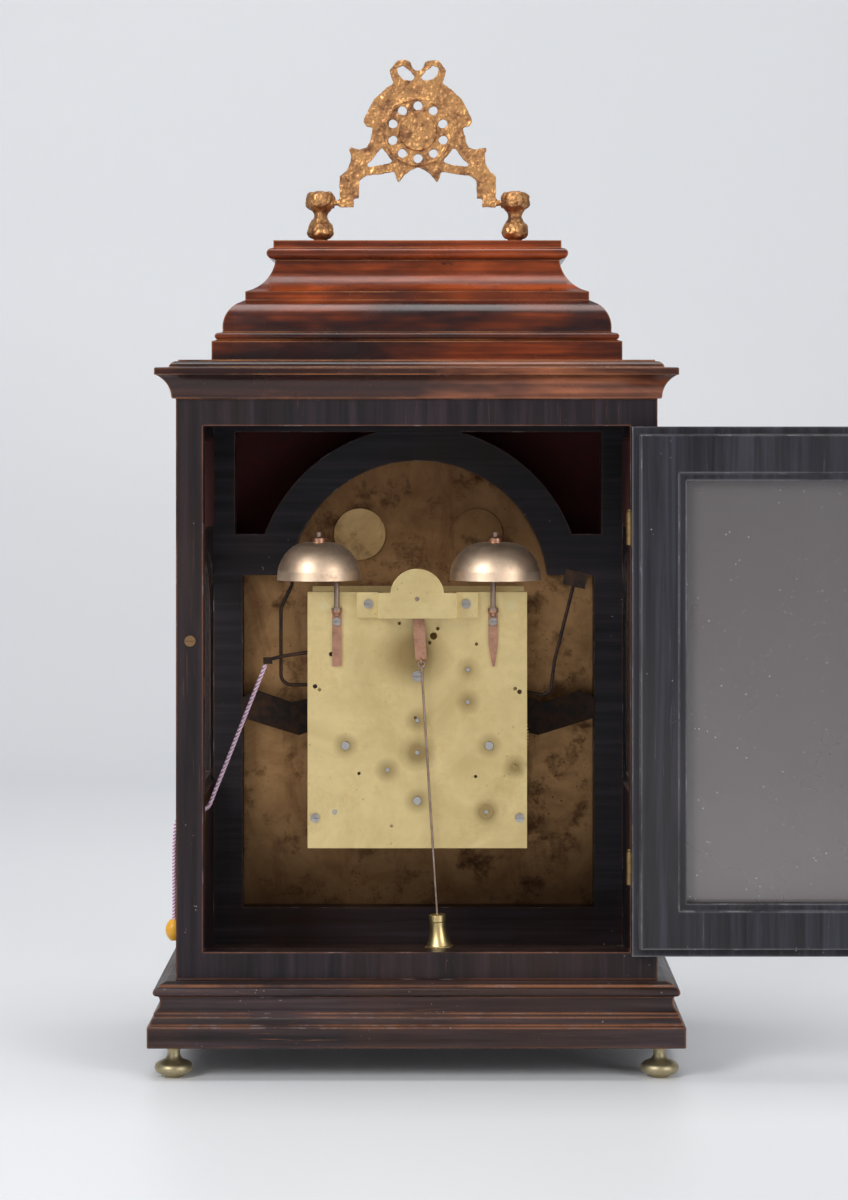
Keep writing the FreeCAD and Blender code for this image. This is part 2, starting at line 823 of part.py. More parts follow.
stile_screw_x = half_w - 7.7
stile_screw_z = base_top + 183.8
STILE_HEAD = (3.0, 0.8)
STILE_SHANK = 1.4
STILE_SCREW_LONG = 11.0
SCREW_PLAY = 0.05


def rear_frame():
    """Stiles and rails round the rear door opening, let in for the hinge leaves."""
    outer = rectangle(-half_w, half_w, base_top, case_top)
    inner = rectangle(-opening_half, opening_half, opening_low, opening_high)
    body = slab("rear_frame", "Y", [outer, inner], rear - S.back_frame_thick, rear)
    leaf_low = rear - S.leaf_width
    beds = []
    for z in back_hinge_z:
        beds.append(rectangle(-opening_half - S.leaf_thick, -opening_half + 1,
                              z - S.hinge_length / 2, z + S.hinge_length / 2))
    carve(body, "Y", beds, leaf_low, rear)
    lock_z = (opening_low + opening_high) / 2
    carve(body, "X", [rectangle(rear - 10, rear - 5, lock_z - 5, lock_z + 5)],
          opening_half, opening_half + 8)
    carve(body, "Y", [(stile_screw_x, stile_screw_z, STILE_SHANK + SCREW_PLAY)],
          rear - STILE_SCREW_LONG - 1, rear)
    keep("rear_frame", body)


# ---------------------------------------------------------------- dial and mask

def arch_loop(half, low, shoulder, radius, centre):
    """A square opening or plate with a round arch standing on its shoulders."""
    rise = shoulder - centre
    foot = root(radius * radius - rise * rise)
    angle = math.atan2(rise.value, foot.value)
    turn = math.pi - 2 * angle
    bulge = math.tan(turn / 4)
    return [(-half, low), (half, low), (half, shoulder), (foot, shoulder, bulge),
            (-foot, shoulder), (-half, shoulder)]


def corner_loop(sense, low, edge, high, radius, centre):
    """The pierced corner between an arch ring and the square frame round it."""
    foot = root(radius * radius - (low - centre) * (low - centre))
    top = root(radius * radius - (high - centre) * (high - centre))
    angle_a = math.atan2((low - centre).value, foot.value)
    angle_b = math.atan2((high - centre).value, top.value)
    bulge = math.tan((angle_b - angle_a) / 4)
    if sense > 0:
        return [(foot, low), (edge, low), (edge, high), (top, high, -bulge)]
    return [(-foot, low, -bulge), (-top, high), (-edge, high), (-edge, low)]


def mask_frame():
    outer = rectangle(-inner_w, inner_w, base_top, case_top)
    sight = arch_loop(S.sight_width / 2, base_top + S.sight_sill, shoulder_z, S.arch_radius,
                      arch_z)
    low = shoulder_z + S.shoulder_height
    ring = S.arch_radius + S.arch_ring
    high = arch_z + ring * S.spandrel_reach
    edge = inner_w - S.spandrel_edge
    corners = [corner_loop(sense, low, edge, high, ring, arch_z) for sense in (1, -1)]
    body = slab("dial_mask_frame", "Y", [outer, sight] + corners, dial_back, mask_back)
    keep("dial_mask_frame", body)


dial_half = S.sight_width / 2 + S.dial_lap
disc_x = as_size(34.2)
disc_z = arch_z + 32.4
DISC_RADIUS = 15.0
WINDER_HOLE = 4.2


def dial():
    """The brass dial plate with its feet, a fixed disc and the holes it needs."""
    outline = arch_loop(dial_half, centre_z - dial_half, centre_z + dial_half,
                        S.arch_radius + S.dial_lap, arch_z)
    body = slab("dial_blank", "Y", [outline], dial_front, dial_back)
    holes = [(0, centre_z, S.hour_pipe + 0.2), (winder_x, winder_z, WINDER_HOLE),
             (-winder_x, winder_z, WINDER_HOLE), (disc_x, disc_z, 1.2 + S.pivot_play)]
    carve(body, "Y", holes, dial_front, dial_back)
    feet_pieces = []
    for sx in (-1, 1):
        for z in (plate_low + 12, plate_top - 14):
            feet_pieces.append(cylinder("dial_foot", "Y",
                                        (sx * (S.plate_width / 2 - 8), dial_back, z),
                                        front_plate_front - dial_back, 2.4))
    disc = cylinder("arch_disc", "Y", (-disc_x, dial_back, disc_z), 1.5, DISC_RADIUS)
    keep("dial_plate", fuse("dial_plate", [body, disc] + feet_pieces))


def chapter_ring():
    ring_front = dial_front - S.chapter_thick
    body = slab("chapter_ring", "Y", [(0, centre_z, S.chapter_outer),
                                      (0, centre_z, S.chapter_inner)], ring_front, dial_front)
    keep("chapter_ring", body)


def dial_spandrels():
    """Four cast corner ornaments that fill the square outside the chapter ring."""
    pieces = []
    reach = dial_half - 3
    clear = S.chapter_outer + 1.5
    inner = root(clear * clear - reach * reach * 0.55 * 0.55)
    middle = clear * 0.7071
    for sx in (-1, 1):
        for sz in (-1, 1):
            points = [(reach, reach), (reach * 0.93, reach * 0.78), (reach, reach * 0.62),
                      (inner, reach * 0.55), (middle + 1.5, middle + 1.5),
                      (reach * 0.55, inner), (reach * 0.62, reach), (reach * 0.78, reach * 0.93)]
            loop = [(p[0] * sx, centre_z + p[1] * sz) for p in points]
            pieces.append(slab("spandrel", "Y", [loop], dial_front - 2.4, dial_front))
    keep("dial_spandrels", group("dial_spandrels", pieces))


def pointer():
    """The strike/silent pointer in the arch, on one arbor with its disc behind the dial."""
    arbor = cylinder("pointer_arbor", "Y", (disc_x, dial_front - 3, disc_z),
                     S.dial_thick + 3.5, 1.2)
    disc = cylinder("pointer_disc", "Y", (disc_x, dial_back + 0.1, disc_z), 1.4, DISC_RADIUS)
    hub = cylinder("pointer_hub", "Y", (disc_x, dial_front - 3, disc_z), 1.2, 2.2)
    hand = slab("pointer_hand", "Y", [[(disc_x - 1.2, disc_z - 4), (disc_x + 1.2, disc_z - 4),
                                       (disc_x + 0.3, disc_z + 12.5),
                                       (disc_x - 0.3, disc_z + 12.5)]],
                dial_front - 2.8, dial_front - 1.8)
    keep("strike_silent_pointer", fuse("strike_silent_pointer", [arbor, disc, hub, hand]))


# ---------------------------------------------------------------- movement frame

PLATE_HOLES = [(10.0, 72.2, 0.9), (-11.4, 69.3, 1.0), (-9.1, 65.1, 2.0), (-6.8, 61.4, 1.0),
               (-25.0, 86.0, 0.9), (-33.0, 60.6, 0.9), (-54.5, 35.8, 1.0), (54.5, 35.2, 1.0),
               (14.4, -40.6, 0.9), (-32.5, -13.2, 0.9), (32.5, -11.5, 0.9), (1.0, 19.6, 0.8)]


def plate_loops(with_slot):
    half = S.plate_width / 2
    if with_slot:
        return [(-half, plate_low), (half, plate_low), (half, plate_top), (4, plate_top),
                (4, verge_z - 4), (-4, verge_z - 4), (-4, plate_top), (-half, plate_top)]
    return rectangle(-half, half, plate_low, plate_top)


BOSS = (3.9, 0.6)
HOLDFAST = (1.4, 4.5)
holdfast_at = (-(S.plate_width / 2 - 6.8), centre_z - 8)


def plates():
    hole = S.pivot_radius + S.pivot_play
    back = slab("back_plate", "Y", [plate_loops(True)], back_plate_front, back_plate_rear)
    for (x, z), (radius, out) in ((strike_barrel_at, BOSS), (holdfast_at, HOLDFAST)):
        raise_from(back, "Y", [(x, z, radius)], back_plate_rear, back_plate_rear + out)
    pivots = [(x, z, hole) for x, z in [centre_at] + BETWEEN]
    pivots += [(x, z, S.arbor_end + S.pivot_play) for x, z in WINDERS + [minute_at]]
    marks = [(x, centre_z + z, radius) for x, z, radius in PLATE_HOLES]
    marks.append((0, potence_screw_z, 1.5))
    for side in (-1, 1):
        marks.append((side * plate_screw_x, plate_screw_z, 1.2))
    carve(back, "Y", pivots + marks, back_plate_front, back_plate_rear + BOSS[1])
    keep("back_plate", back)
    face = slab("front_plate", "Y", [plate_loops(False)], front_plate_front, front_plate_rear)
    holes = []
    for group_of, radius in ((WINDERS, S.winder_collar), (THROUGH, S.arbor_radius),
                             (BETWEEN + [verge_at], S.pivot_radius)):
        for x, z in group_of:
            holes.append((x, z, radius + S.pivot_play))
    carve(face, "Y", holes, front_plate_front, front_plate_rear)
    keep("front_plate", face)


potence_screw_z = centre_z + 42.8
plate_screw_x = S.plate_width / 2 - 4.2
plate_screw_z = plate_low + 17
cock_screw_z = plate_top - 6.5
pillar_places = [(S.plate_width / 2 - 8.9, plate_top - 7.8), (-(S.plate_width / 2 - 8.9),
                 plate_top - 7.8), (S.plate_width / 2 - 5.7, plate_low + 4.4),
                 (-(S.plate_width / 2 - 5.7), plate_low + 4.4)]


def pillars():
    """Turned distance pieces that hold the two plates apart."""
    long = S.plate_gap
    profile = [(0, 0), (3.0, 0), (3.0, 3), (2.2, 4, -0.2), (2.2, 10), (2.8, 12), (2.2, 14),
               (2.2, long - 14), (2.8, long - 12), (2.2, long - 10, -0.2), (2.2, long - 4),
               (3.0, long - 3), (3.0, long), (0, long)]
    pieces = [turned("pillar", profile, (x, front_plate_rear, z), "Y") for x, z in pillar_places]
    keep("plate_pillars", group("plate_pillars", pieces))


COCK_STAND = 10.0
COCK_SCREW_X = as_size(27.2)


def back_cock():
    """The bridge outside the back plate that carries the rear pivot of the verge."""
    low = plate_top - 14.2
    y = back_plate_rear
    ears = slab("cock_ears", "Y", [rectangle(-33.7, -19.9, low, plate_top),
                                   rectangle(19.9, 33.7, low, plate_top)], y, y + 3)
    carve(ears, "Y", [(side * COCK_SCREW_X, cock_screw_z, 1.2) for side in (-1, 1)], y, y + 3)
    walls = slab("cock_walls", "Y", [rectangle(-21.9, -19.9, low, plate_top),
                                     rectangle(19.9, 21.9, low, plate_top)], y, y + COCK_STAND)
    head = 14.9
    outline = [(-21.9, low), (21.9, low), (21.9, plate_top), (head, plate_top, 0.9),
               (-head, plate_top), (-21.9, plate_top)]
    face = slab("cock_face", "Y", [outline], y + COCK_STAND, y + COCK_STAND + 2.5)
    carve(face, "Y", [(0, verge_z, S.pivot_radius + S.pivot_play)], y + COCK_STAND,
          y + COCK_STAND + 2.5)
    return fuse("back_cock", [face, ears, walls])


contrate_wheel_y = (back_plate_front + front_plate_rear) / 2 - 10.5
crown_y = contrate_wheel_y + 3.5 + S.fine_module * 4.1
crown_pinion_low = contrate_at[1] + 10
potence_low = contrate_at[1] + 5
potence_high = verge_z - 17.3


def potence():
    """The bracket inside the back plate whose two arms carry the upright crown arbor."""
    bar = box("potence_bar", (-4, back_plate_front - 4.5, potence_low),
              (4, back_plate_front, potence_high))
    arms = [box("potence_foot", (-3, crown_y - 2.8, potence_low),
                (3, back_plate_front - 4, potence_low + 4)),
            box("potence_arm", (-3, crown_y - 3.4, potence_high - 4),
                (3, back_plate_front - 4, potence_high))]
    bores = [cylinder("foot_bore", "Z", (0, crown_y, potence_low + 1), 4, 1.0 + S.pivot_play),
             cylinder("arm_bore", "Z", (0, crown_y, potence_high - 5), 6,
                      S.pivot_radius + S.pivot_play),
             cylinder("potence_tap", "Y", (0, back_plate_front - 5, potence_screw_z), 6, 1.5)]
    blank = fuse("potence_blank", [bar] + arms)
    return cut("crown_wheel_potence", blank, bores)


def slotted_screw(name, at, head, shank, length):
    """A cheese-head screw whose head stands towards +Y and whose slot runs across."""
    radius, high = head
    body = fuse(name + "_blank", [
        cylinder(name + "_head", "Y", at, high, radius),
        cylinder(name + "_shank", "Y", (at[0], at[1] - length, at[2]), length, shank)])
    wide, deep = SLOT
    slot = box(name + "_slot", (at[0] - radius - 1, at[1] + high - deep, at[2] - wide / 2),
               (at[0] + radius + 1, at[1] + high + 1, at[2] + wide / 2))
    return cut(name, body, [slot])


STRIP_THICK = 1.6


def screws_and_nuts():
    """The screws of the back plate and the stile, the nuts of the bells and of the handle."""
    y = back_plate_rear
    pieces = [slotted_screw("potence_screw", (as_size(0), y, potence_screw_z), SCREW_HEAD, 1.5,
                            S.plate_thick + 4)]
    for sx in (-1, 1):
        pieces.append(slotted_screw("plate_screw", (sx * plate_screw_x, y, plate_screw_z),
                                    (2.6, 1.4), 1.2, 1.5))
        pieces.append(slotted_screw("cock_screw", (sx * COCK_SCREW_X, y + 3, cock_screw_z),
                                    (2.6, 1.4), 1.2, 2.5))
    for x, z in stand_feet:
        pieces.append(slotted_screw("stand_screw", (x, y + STRIP_THICK, z), (2.3, 1.3), 1.1,
                                    STRIP_THICK))
    pieces.append(slotted_screw("stile_screw", (stile_screw_x, rear, stile_screw_z), STILE_HEAD,
                                STILE_SHANK, STILE_SCREW_LONG))
    for x, radius in bell_places:
        top = bell_rim_z + S.bell_rise
        pieces.append(turned("bell_nut", [(1.6, 0), (4.2, 0), (4.2, 2.2), (3.2, 3.2),
                                          (1.6, 3.2)], (x, bell_y, top)))
    for sx in (-1, 1):
        top = clock_top - S.top_wall - 2
        pieces.append(turned("handle_nut", [(2.55, 0), (6, 0), (6, 4), (2.55, 4)],
                             (sx * S.pillar_span / 2, 0, top - 4)))
    keep("screws_and_nuts", group("screws_and_nuts", pieces))


def brackets():
    """Leaf-shaped irons that tie the front plate to the mask frame on either side."""
    pieces = []
    for sx in (-1, 1):
        inner = S.plate_width / 2 - 6
        outer = S.sight_width / 2
        z = centre_z + 16.6
        loop = [(inner, z - 9), (inner + 14, z - 13), (outer, z - 3), (outer, z + 9),
                (outer - 8, z + 13), (inner + 18, z + 6), (inner, z + 10)]
        loop = [(as_size(p[0]) * sx, p[1]) for p in loop]
        leaf = slab("bracket_leaf", "Y", [loop], front_plate_rear, front_plate_rear + 2.5)
        near, far = (outer - 2.5, outer) if sx > 0 else (-outer, -outer + 2.5)
        flange = box("bracket_flange", (near, dial_back + 1, z - 3),
                     (far, front_plate_rear + 1, z + 9))
        pieces.append(fuse("bracket", [leaf, flange]))
    keep("movement_brackets", group("movement_brackets", pieces))


# ---------------------------------------------------------------- bells and stands

bell_y = rear - S.bell_depth
bell_rim_z = plate_top + S.bell_rim_lift
bell_places = [(S.left_bell_out, S.left_bell_radius), (-S.right_bell_out, S.right_bell_radius)]
stand_feet = [(S.left_bell_out - 10.3, plate_top - 16.4), (-S.right_bell_out + 1.4,
                                                           plate_top - 16.4)]


def bells():
    """Two shallow bells, thicker at the lip, each with a hole for its stem."""
    pieces = []
    for x, radius in bell_places:
        rise = S.bell_rise
        wall = S.bell_wall
        outline = [(radius - wall, 0), (radius, 0), (radius - 0.4, 5, 0.19),
                   (radius * 0.62, rise - 2.4, 0.12), (5.0, rise), (2.2, rise),
                   (2.2, rise - wall), (5.0, rise - wall, -0.12),
                   (radius * 0.6, rise - 2.4 - wall, -0.17), (radius - wall - 1, 4.4)]
        pieces.append(turned("bell", outline, (x, bell_y, bell_rim_z)))
    keep("strike_bells", group("strike_bells", pieces))


def bell_stands():
    """A screwed strip, a bent steel stem with a collar, and a shoulder under each bell."""
    pieces = []
    for (foot_x, foot_z), (x, radius), pointed in zip(stand_feet, bell_places, (False, True)):
        y = back_plate_rear
        low = foot_z - 25
        if pointed:
            loop = [(foot_x - 1, low), (foot_x + 0.4, low), (foot_x + 2.6, low + 12),
                    (foot_x + 2.6, foot_z + 6), (foot_x - 2.6, foot_z + 6),
                    (foot_x - 2.6, low + 12)]
        else:
            loop = rectangle(foot_x - 2.6, foot_x + 2.6, low, foot_z + 6)
        strip = slab("stand_strip", "Y", [loop], y, y + STRIP_THICK)
        carve(strip, "Y", [(foot_x, foot_z, 1.2)], y, y + STRIP_THICK)
        stem_y = y + 2.0
        under = bell_rim_z + S.bell_rise - S.bell_wall
        stem = pipe([(foot_x, stem_y, foot_z + 3), (foot_x, stem_y, bell_rim_z + 2),
                     (x, bell_y, bell_rim_z + 11),
                     (x, bell_y, bell_rim_z + S.bell_rise + 5.5)], 1.5)[0]
        upright = formed("stand_stem", stem)
        collar = cylinder("stand_collar", "Z", (foot_x, stem_y, foot_z + 5), 2.5, 3.0)
        trim = box("collar_trim", (foot_x - 4, y - 4, foot_z + 4), (foot_x + 4, y, foot_z + 9))
        shoulder = cylinder("stand_shoulder", "Z", (x, bell_y, under - 2.2), 2.2, 4.0)
        blank = fuse("stand_blank", [strip, upright, collar, shoulder])
        pieces.append(cut("bell_stand", blank, [trim]))
    keep("bell_stands", group("bell_stands", pieces))


# ---------------------------------------------------------------- wheels

ADDENDUM = 0.85
DEDENDUM = 1.3
TIP_SHARE = 0.115
FOOT_SHARE = 0.26


def gear_outline(teeth, module, tooth_at):
    """The closed tooth outline, with one tooth centred at the given angle."""
    module = float(as_size(module))
    tip = module * (teeth / 2 + ADDENDUM)
    foot = module * (teeth / 2 - DEDENDUM)
    step = 360 / teeth
    points = []
    for tooth in range(teeth):
        middle = tooth_at + step * tooth
        for radius, share in ((foot, -FOOT_SHARE), (tip, -TIP_SHARE), (tip, TIP_SHARE),
                              (foot, FOOT_SHARE)):
            angle = math.radians(middle + step * share)
            points.append(V(radius * math.cos(angle), radius * math.sin(angle), 0))
    points.append(points[0])
    return Part.Face(Part.makePolygon(points))


def crossed(radius, rim, hub, low, thick):
    """The four quadrant windows that leave a wheel with spokes."""
    ring = Part.makeCylinder(radius - rim, thick, V(0, 0, low))
    ring = ring.cut(Part.makeCylinder(hub, thick, V(0, 0, low)))
    for turn in (0, 90):
        spoke = Part.makeBox(2 * radius, 2.2, thick, V(-radius, -1.1, low))
        spoke.rotate(V(), V(0, 0, 1), turn + 45)
        ring = ring.cut(spoke)
    return ring


def wheel(teeth, module, low, thick, tooth_at, crossings=True):
    """A toothed wheel lying on the level low."""
    shape = gear_outline(teeth, module, tooth_at).extrude(V(0, 0, thick))
    shape.translate(V(0, 0, low))
    radius = float(as_size(module)) * teeth / 2
    if crossings and radius > 12:
        shape = shape.cut(crossed(radius, 3.4, 4.0, low, thick))
    return shape


def rod(radius, low, high):
    radius, low, high = (float(as_size(n)) for n in (radius, low, high))
    return Part.makeCylinder(radius, high - low, V(0, 0, low))


def joined(shapes):
    whole = shapes[0].multiFuse(shapes[1:])
    return whole.removeSplitter()


def arbor(low_pivot=True, stout_end=False):
    """An arbor between the plates, on levels counted from the front plate's inner face.

    A stout end passes through the back plate and stands out behind it."""
    gap = S.plate_gap.value
    shapes = [rod(S.arbor_radius, 0.3, gap - 0.3)]
    if low_pivot:
        shapes.append(rod(S.pivot_radius, -S.plate_thick.value * 0.9, 1))
    if stout_end:
        shapes.append(rod(S.arbor_end, gap - 1, gap + S.plate_thick + S.arbor_end_out))
    else:
        shapes.append(rod(S.pivot_radius, gap - 1, gap + S.plate_thick - 0.2))
    return shapes


def level(y):
    """Height of a plane of the movement above the front plate's inner face."""
    return float(as_size(y)) - front_plate_rear.value


def mounted(label, shapes, at):
    """A wheel and its arbor, set in the movement on their own centre."""
    keep(label, formed(label, joined(shapes), (at[0], front_plate_rear, at[1]), "Y"))


GREAT_LEVEL = 4.0
SECOND_LEVEL = 48.5
CENTRE_LEVEL = 34.5


def fusee(label, at, mate):
    """A fusee: the grooved cone, its great wheel and the arbor with a winding square."""
    thick = S.wheel_thick.value + 0.5
    cone_low = GREAT_LEVEL + thick + 0.5
    cone_high = S.plate_gap.value - 27.5
    turns = 10
    points = [V(0, 0, cone_low)]
    step = (cone_high - cone_low) / turns
    for turn in range(turns):
        share = turn / (turns - 1)
        radius = S.fusee_large.value * (1 - share) + S.fusee_small.value * share
        low = cone_low + step * turn
        points.append(V(radius, 0, low))
        points.append(V(radius, 0, low + step * 0.3))
        points.append(V(radius - 1.0, 0, low + step * 0.65))
    points.append(V(S.fusee_small.value, 0, cone_high))
    points.append(V(0, 0, cone_high))
    points.append(points[0])
    body = Part.Face(Part.makePolygon(points)).revolve(V(), V(0, 0, 1), 360)
    square = 1.65
    winder_low = level(dial_front - 2.5)
    winder = Part.makeBox(2 * square, 2 * square, -winder_low, V(-square, -square, winder_low))
    shapes = arbor(low_pivot=False, stout_end=True)
    shapes.append(rod(S.winder_collar, level(front_plate_front - 0.5), 1))
    shapes.append(body)
    shapes.append(winder)
    shapes.append(rod(5, GREAT_LEVEL - 1, cone_low + 1))
    shapes.append(wheel(GREAT_TEETH, S.great_module, GREAT_LEVEL, thick, facing(at, mate)))
    mounted(label, shapes, at)


def barrel(label, at):
    """A spring barrel on its arbor."""
    low = 9.0
    high = low + S.barrel_length.value
    drum = rod(S.barrel_radius, low, high)
    waist = rod(S.barrel_radius.value + 1, low + 2, high - 2)
    groove = waist.cut(rod(S.barrel_radius.value - 0.5, low + 2, high - 2))
    shapes = arbor() + [drum.cut(groove)]
    mounted(label, shapes, at)


def going_train():
    thick = S.wheel_thick.value
    fusee("going_fusee", going_at, second_at)
    barrel("going_barrel", going_barrel_at)
    to_great = facing(second_at, going_at) + 180 / SECOND_LEAVES
    second = arbor() + [
        wheel(SECOND_LEAVES, S.great_module, GREAT_LEVEL - 0.5, 4, to_great, False),
        wheel(SECOND_TEETH, S.second_module, SECOND_LEVEL, thick, facing(second_at, centre_at))]
    mounted("intermediate_wheel", second, second_at)
    to_second = facing(centre_at, second_at) + 180 / CENTRE_LEAVES
    centre = arbor(low_pivot=False) + [
        rod(S.arbor_radius, level(hand_level - 2), 1),
        wheel(CENTRE_LEAVES, S.second_module, SECOND_LEVEL - 2, thick + 4, to_second, False),
        rod(4, CENTRE_LEVEL - 1, CENTRE_LEVEL + thick + 1),
        wheel(CENTRE_TEETH, S.fine_module, CENTRE_LEVEL, thick, facing(centre_at, contrate_at))]
    mounted("centre_wheel", centre, centre_at)
    contrate_wheel()
    crown_wheel()


def contrate_wheel():
    """The wheel whose teeth stand parallel to its arbor and turn the upright crown arbor."""
    low = level(contrate_wheel_y)
    outer = contrate_module.value * CONTRATE_TEETH / 2 + 1
    inner = outer - 2
    rim = Part.makeCylinder(outer, 2.2, V(0, 0, low - 2))
    rim = rim.cut(crossed(outer, 3, 3.5, low - 2, 2.2))
    pinion = contrate_module.value * CROWN_LEAVES / 2
    wall_high = level(crown_y) - pinion - contrate_module.value * (ADDENDUM + 0.45)
    high = level(crown_y) - pinion + contrate_module.value * ADDENDUM
    wall = rod(outer, low, wall_high).cut(rod(inner, low - 1, wall_high + 1))
    to_centre = facing(contrate_at, centre_at) + 180 / CONTRATE_LEAVES
    shapes = arbor() + [rim, wall, rod(3.5, low - 3, low + 1),
                        wheel(CONTRATE_LEAVES, S.fine_module, CENTRE_LEVEL - 1.5, 5, to_centre,
                              False)]
    pitch = 360 / CONTRATE_TEETH
    foot = contrate_module.value * math.pi * FOOT_SHARE
    tip = contrate_module.value * math.pi * TIP_SHARE
    for tooth in range(CONTRATE_TEETH):
        near = inner + 0.15
        root_z = wall_high - 0.2
        outline = [V(near, -foot, root_z), V(near, foot, root_z), V(near, foot, wall_high),
                   V(near, tip, high), V(near, -tip, high), V(near, -foot, wall_high),
                   V(near, -foot, root_z)]
        block = Part.Face(Part.makePolygon(outline)).extrude(V(outer - inner - 0.3, 0, 0))
        block.rotate(V(), V(0, 0, 1), pitch * tooth - 90 + pitch / 2)
        shapes.append(block)
    mounted("contrate_wheel", shapes, contrate_at)


def crown_wheel():
    """The escape wheel on its upright arbor, teeth up, with the pinion below."""
    base = potence_low.value + 1
    disc_z = verge_z.value - 4.3 - S.crown_height.value
    pinion_low = crown_pinion_low.value
    outer = S.crown_radius.value
    shapes = [rod(1.0, base + 0.1, base + 4), rod(S.pivot_radius, potence_low.value + 4.3, disc_z + 1),
              wheel(CROWN_LEAVES, contrate_module, pinion_low, 5.5, 90, False)]
    wall = Part.makeCylinder(outer, S.crown_height.value, V(0, 0, disc_z))
    wall = wall.cut(Part.makeCylinder(outer - 1.2, S.crown_height.value, V(0, 0, disc_z + 1.5)))
    wall = wall.cut(crossed(outer, 2.6, 3, disc_z, 1.5))
    step = 360 / CROWN_TEETH
    deep = S.crown_height.value * 0.45
    top = disc_z + S.crown_height.value
    chord = outer * math.radians(step)
    gaps = []
    for tooth in range(CROWN_TEETH):
        outline = [V(outer - 3, -chord * 0.42, top + 0.1), V(outer - 3, chord * 0.42, top + 0.1),
                   V(outer - 3, chord * 0.42, top - deep), V(outer - 3, -chord * 0.42, top + 0.1)]
        gap = Part.Face(Part.makePolygon(outline)).extrude(V(5, 0, 0))
        gap.rotate(V(), V(0, 0, 1), step * tooth)
        gaps.append(gap)
    wall = wall.cut(Part.makeCompound(gaps))
    shapes.append(wall)
    keep("crown_wheel", formed("crown_wheel", joined(shapes), (0, crown_y, 0)))


def strike_train():
    thick = S.wheel_thick.value
    fusee("strike_fusee", strike_at, pin_at)
    barrel("strike_barrel", strike_barrel_at)
    to_great = facing(pin_at, strike_at) + 180 / SECOND_LEAVES
    low = 44.0
    pin_wheel = arbor() + [
        wheel(SECOND_LEAVES, S.great_module, GREAT_LEVEL - 0.5, 4, to_great, False),
        wheel(PIN_TEETH, S.fine_module, low, thick, facing(pin_at, fly_at)),
        rod(4, low - 1, low + thick + 1)]
    for number in range(8):
        angle = math.radians(45 * number + 20)
        ring = pin_radius.value - 2.2
        pin_shape = Part.makeCylinder(0.8, 4.5, V(ring * math.cos(angle),
                                                  ring * math.sin(angle), low + 0.5))
        pin_wheel.append(pin_shape)
    mounted("pin_wheel", pin_wheel, pin_at)
    to_pin = facing(fly_at, pin_at) + 180 / FLY_LEAVES
    vane = Part.makeBox(20, 0.8, 20, V(-10, -0.4, 12))
    fly = arbor() + [wheel(FLY_LEAVES, S.fine_module, low - 1.5, 5, to_pin, False), vane,
                     rod(2.2, 12, 32)]
    mounted("fly", fly, fly_at)


hand_level = dial_front - 7.2
HAND_PLAY = 0.03


def motion_work():
    """Cannon, minute and hour wheels in front of the front plate, and the two hands."""
    thick = 1.8
    low = level(front_plate_front - 4.5)
    bore = S.arbor_radius + 0.06
    cannon = wheel(CANNON_TEETH, cannon_module, low, thick, facing(centre_at, minute_at))
    pipe_low = level(hand_level - 1.2)
    cannon = joined([cannon, rod(S.minute_pipe, pipe_low, low + thick)])
    cannon = cannon.cut(rod(bore, pipe_low - 1, low + thick + 1))
    mounted("cannon_wheel", [cannon], centre_at)
    to_cannon = facing(minute_at, centre_at) + 180 / MINUTE_TEETH
    hour_low = low - 3.0
    to_hour = facing(minute_at, centre_at) + 180 / MINUTE_LEAVES
    minute = arbor(low_pivot=False, stout_end=True) + [
        rod(S.arbor_radius, level(dial_back + 1.5), 1),
        wheel(MINUTE_TEETH, cannon_module, low, thick, to_cannon),
        wheel(MINUTE_LEAVES, hour_module, hour_low - 0.6, low - hour_low + 1, to_hour, False)]
    mounted("minute_wheel", minute, minute_at)
    hour = wheel(HOUR_TEETH, hour_module, hour_low, thick, facing(centre_at, minute_at))
    hour = joined([hour, rod(S.hour_pipe, level(hand_level + 2.2), hour_low + thick)])
    hour = hour.cut(rod(S.minute_pipe + 0.06, pipe_low - 1, hour_low + thick + 1))
    mounted("hour_wheel", [hour], centre_at)
    hands(pipe_low)


def hand_shape(length, width, low, hub, bore):
    """A tapering hand with a pierced swelling, pointing along the local -Y axis."""
    outline = [V(width * 0.5, -hub * 0.6, 0), V(width * 0.45, -length * 0.35, 0),
               V(width * 1.6, -length * 0.5, 0), V(width * 0.45, -length * 0.66, 0),
               V(0.5, -length, 0), V(-0.5, -length, 0), V(-width * 0.45, -length * 0.66, 0),
               V(-width * 1.6, -length * 0.5, 0), V(-width * 0.45, -length * 0.35, 0),
               V(-width * 0.5, -hub * 0.6, 0)]
    blade = Part.Face(Part.makePolygon(outline + outline[:1])).extrude(V(0, 0, 1.0))
    window = Part.makeCylinder(width * 0.75, 1.0, V(0, -length * 0.5, 0))
    blade = blade.cut(window)
    boss = Part.makeCylinder(hub, 1.4, V(0, 0, 0))
    shape = boss.fuse(blade)
    shape.translate(V(0, 0, low))
    return shape.cut(rod(bore, low - 1, low + 3))


def hands(pipe_low):
    """Ten minutes past ten, so that both hands and the pointer are clear of each other."""
    hour_low = level(hand_level + 2.4)
    hour = hand_shape(52, 4.2, hour_low, 6.5, S.hour_pipe + HAND_PLAY)
    hour.rotate(V(), V(0, 0, 1), 305 - 360)
    mounted("hour_hand", [hour], centre_at)
    minute = hand_shape(82, 3.4, level(hand_level - 0.6), 5.2, S.minute_pipe + HAND_PLAY)
    minute.rotate(V(), V(0, 0, 1), 60)
    mounted("minute_hand", [minute], centre_at)


# ---------------------------------------------------------------- escapement and pendulum

strip_y = back_plate_rear + 4.5
STRIP_STEEL = 1.2
ROD_TOP = -38.2


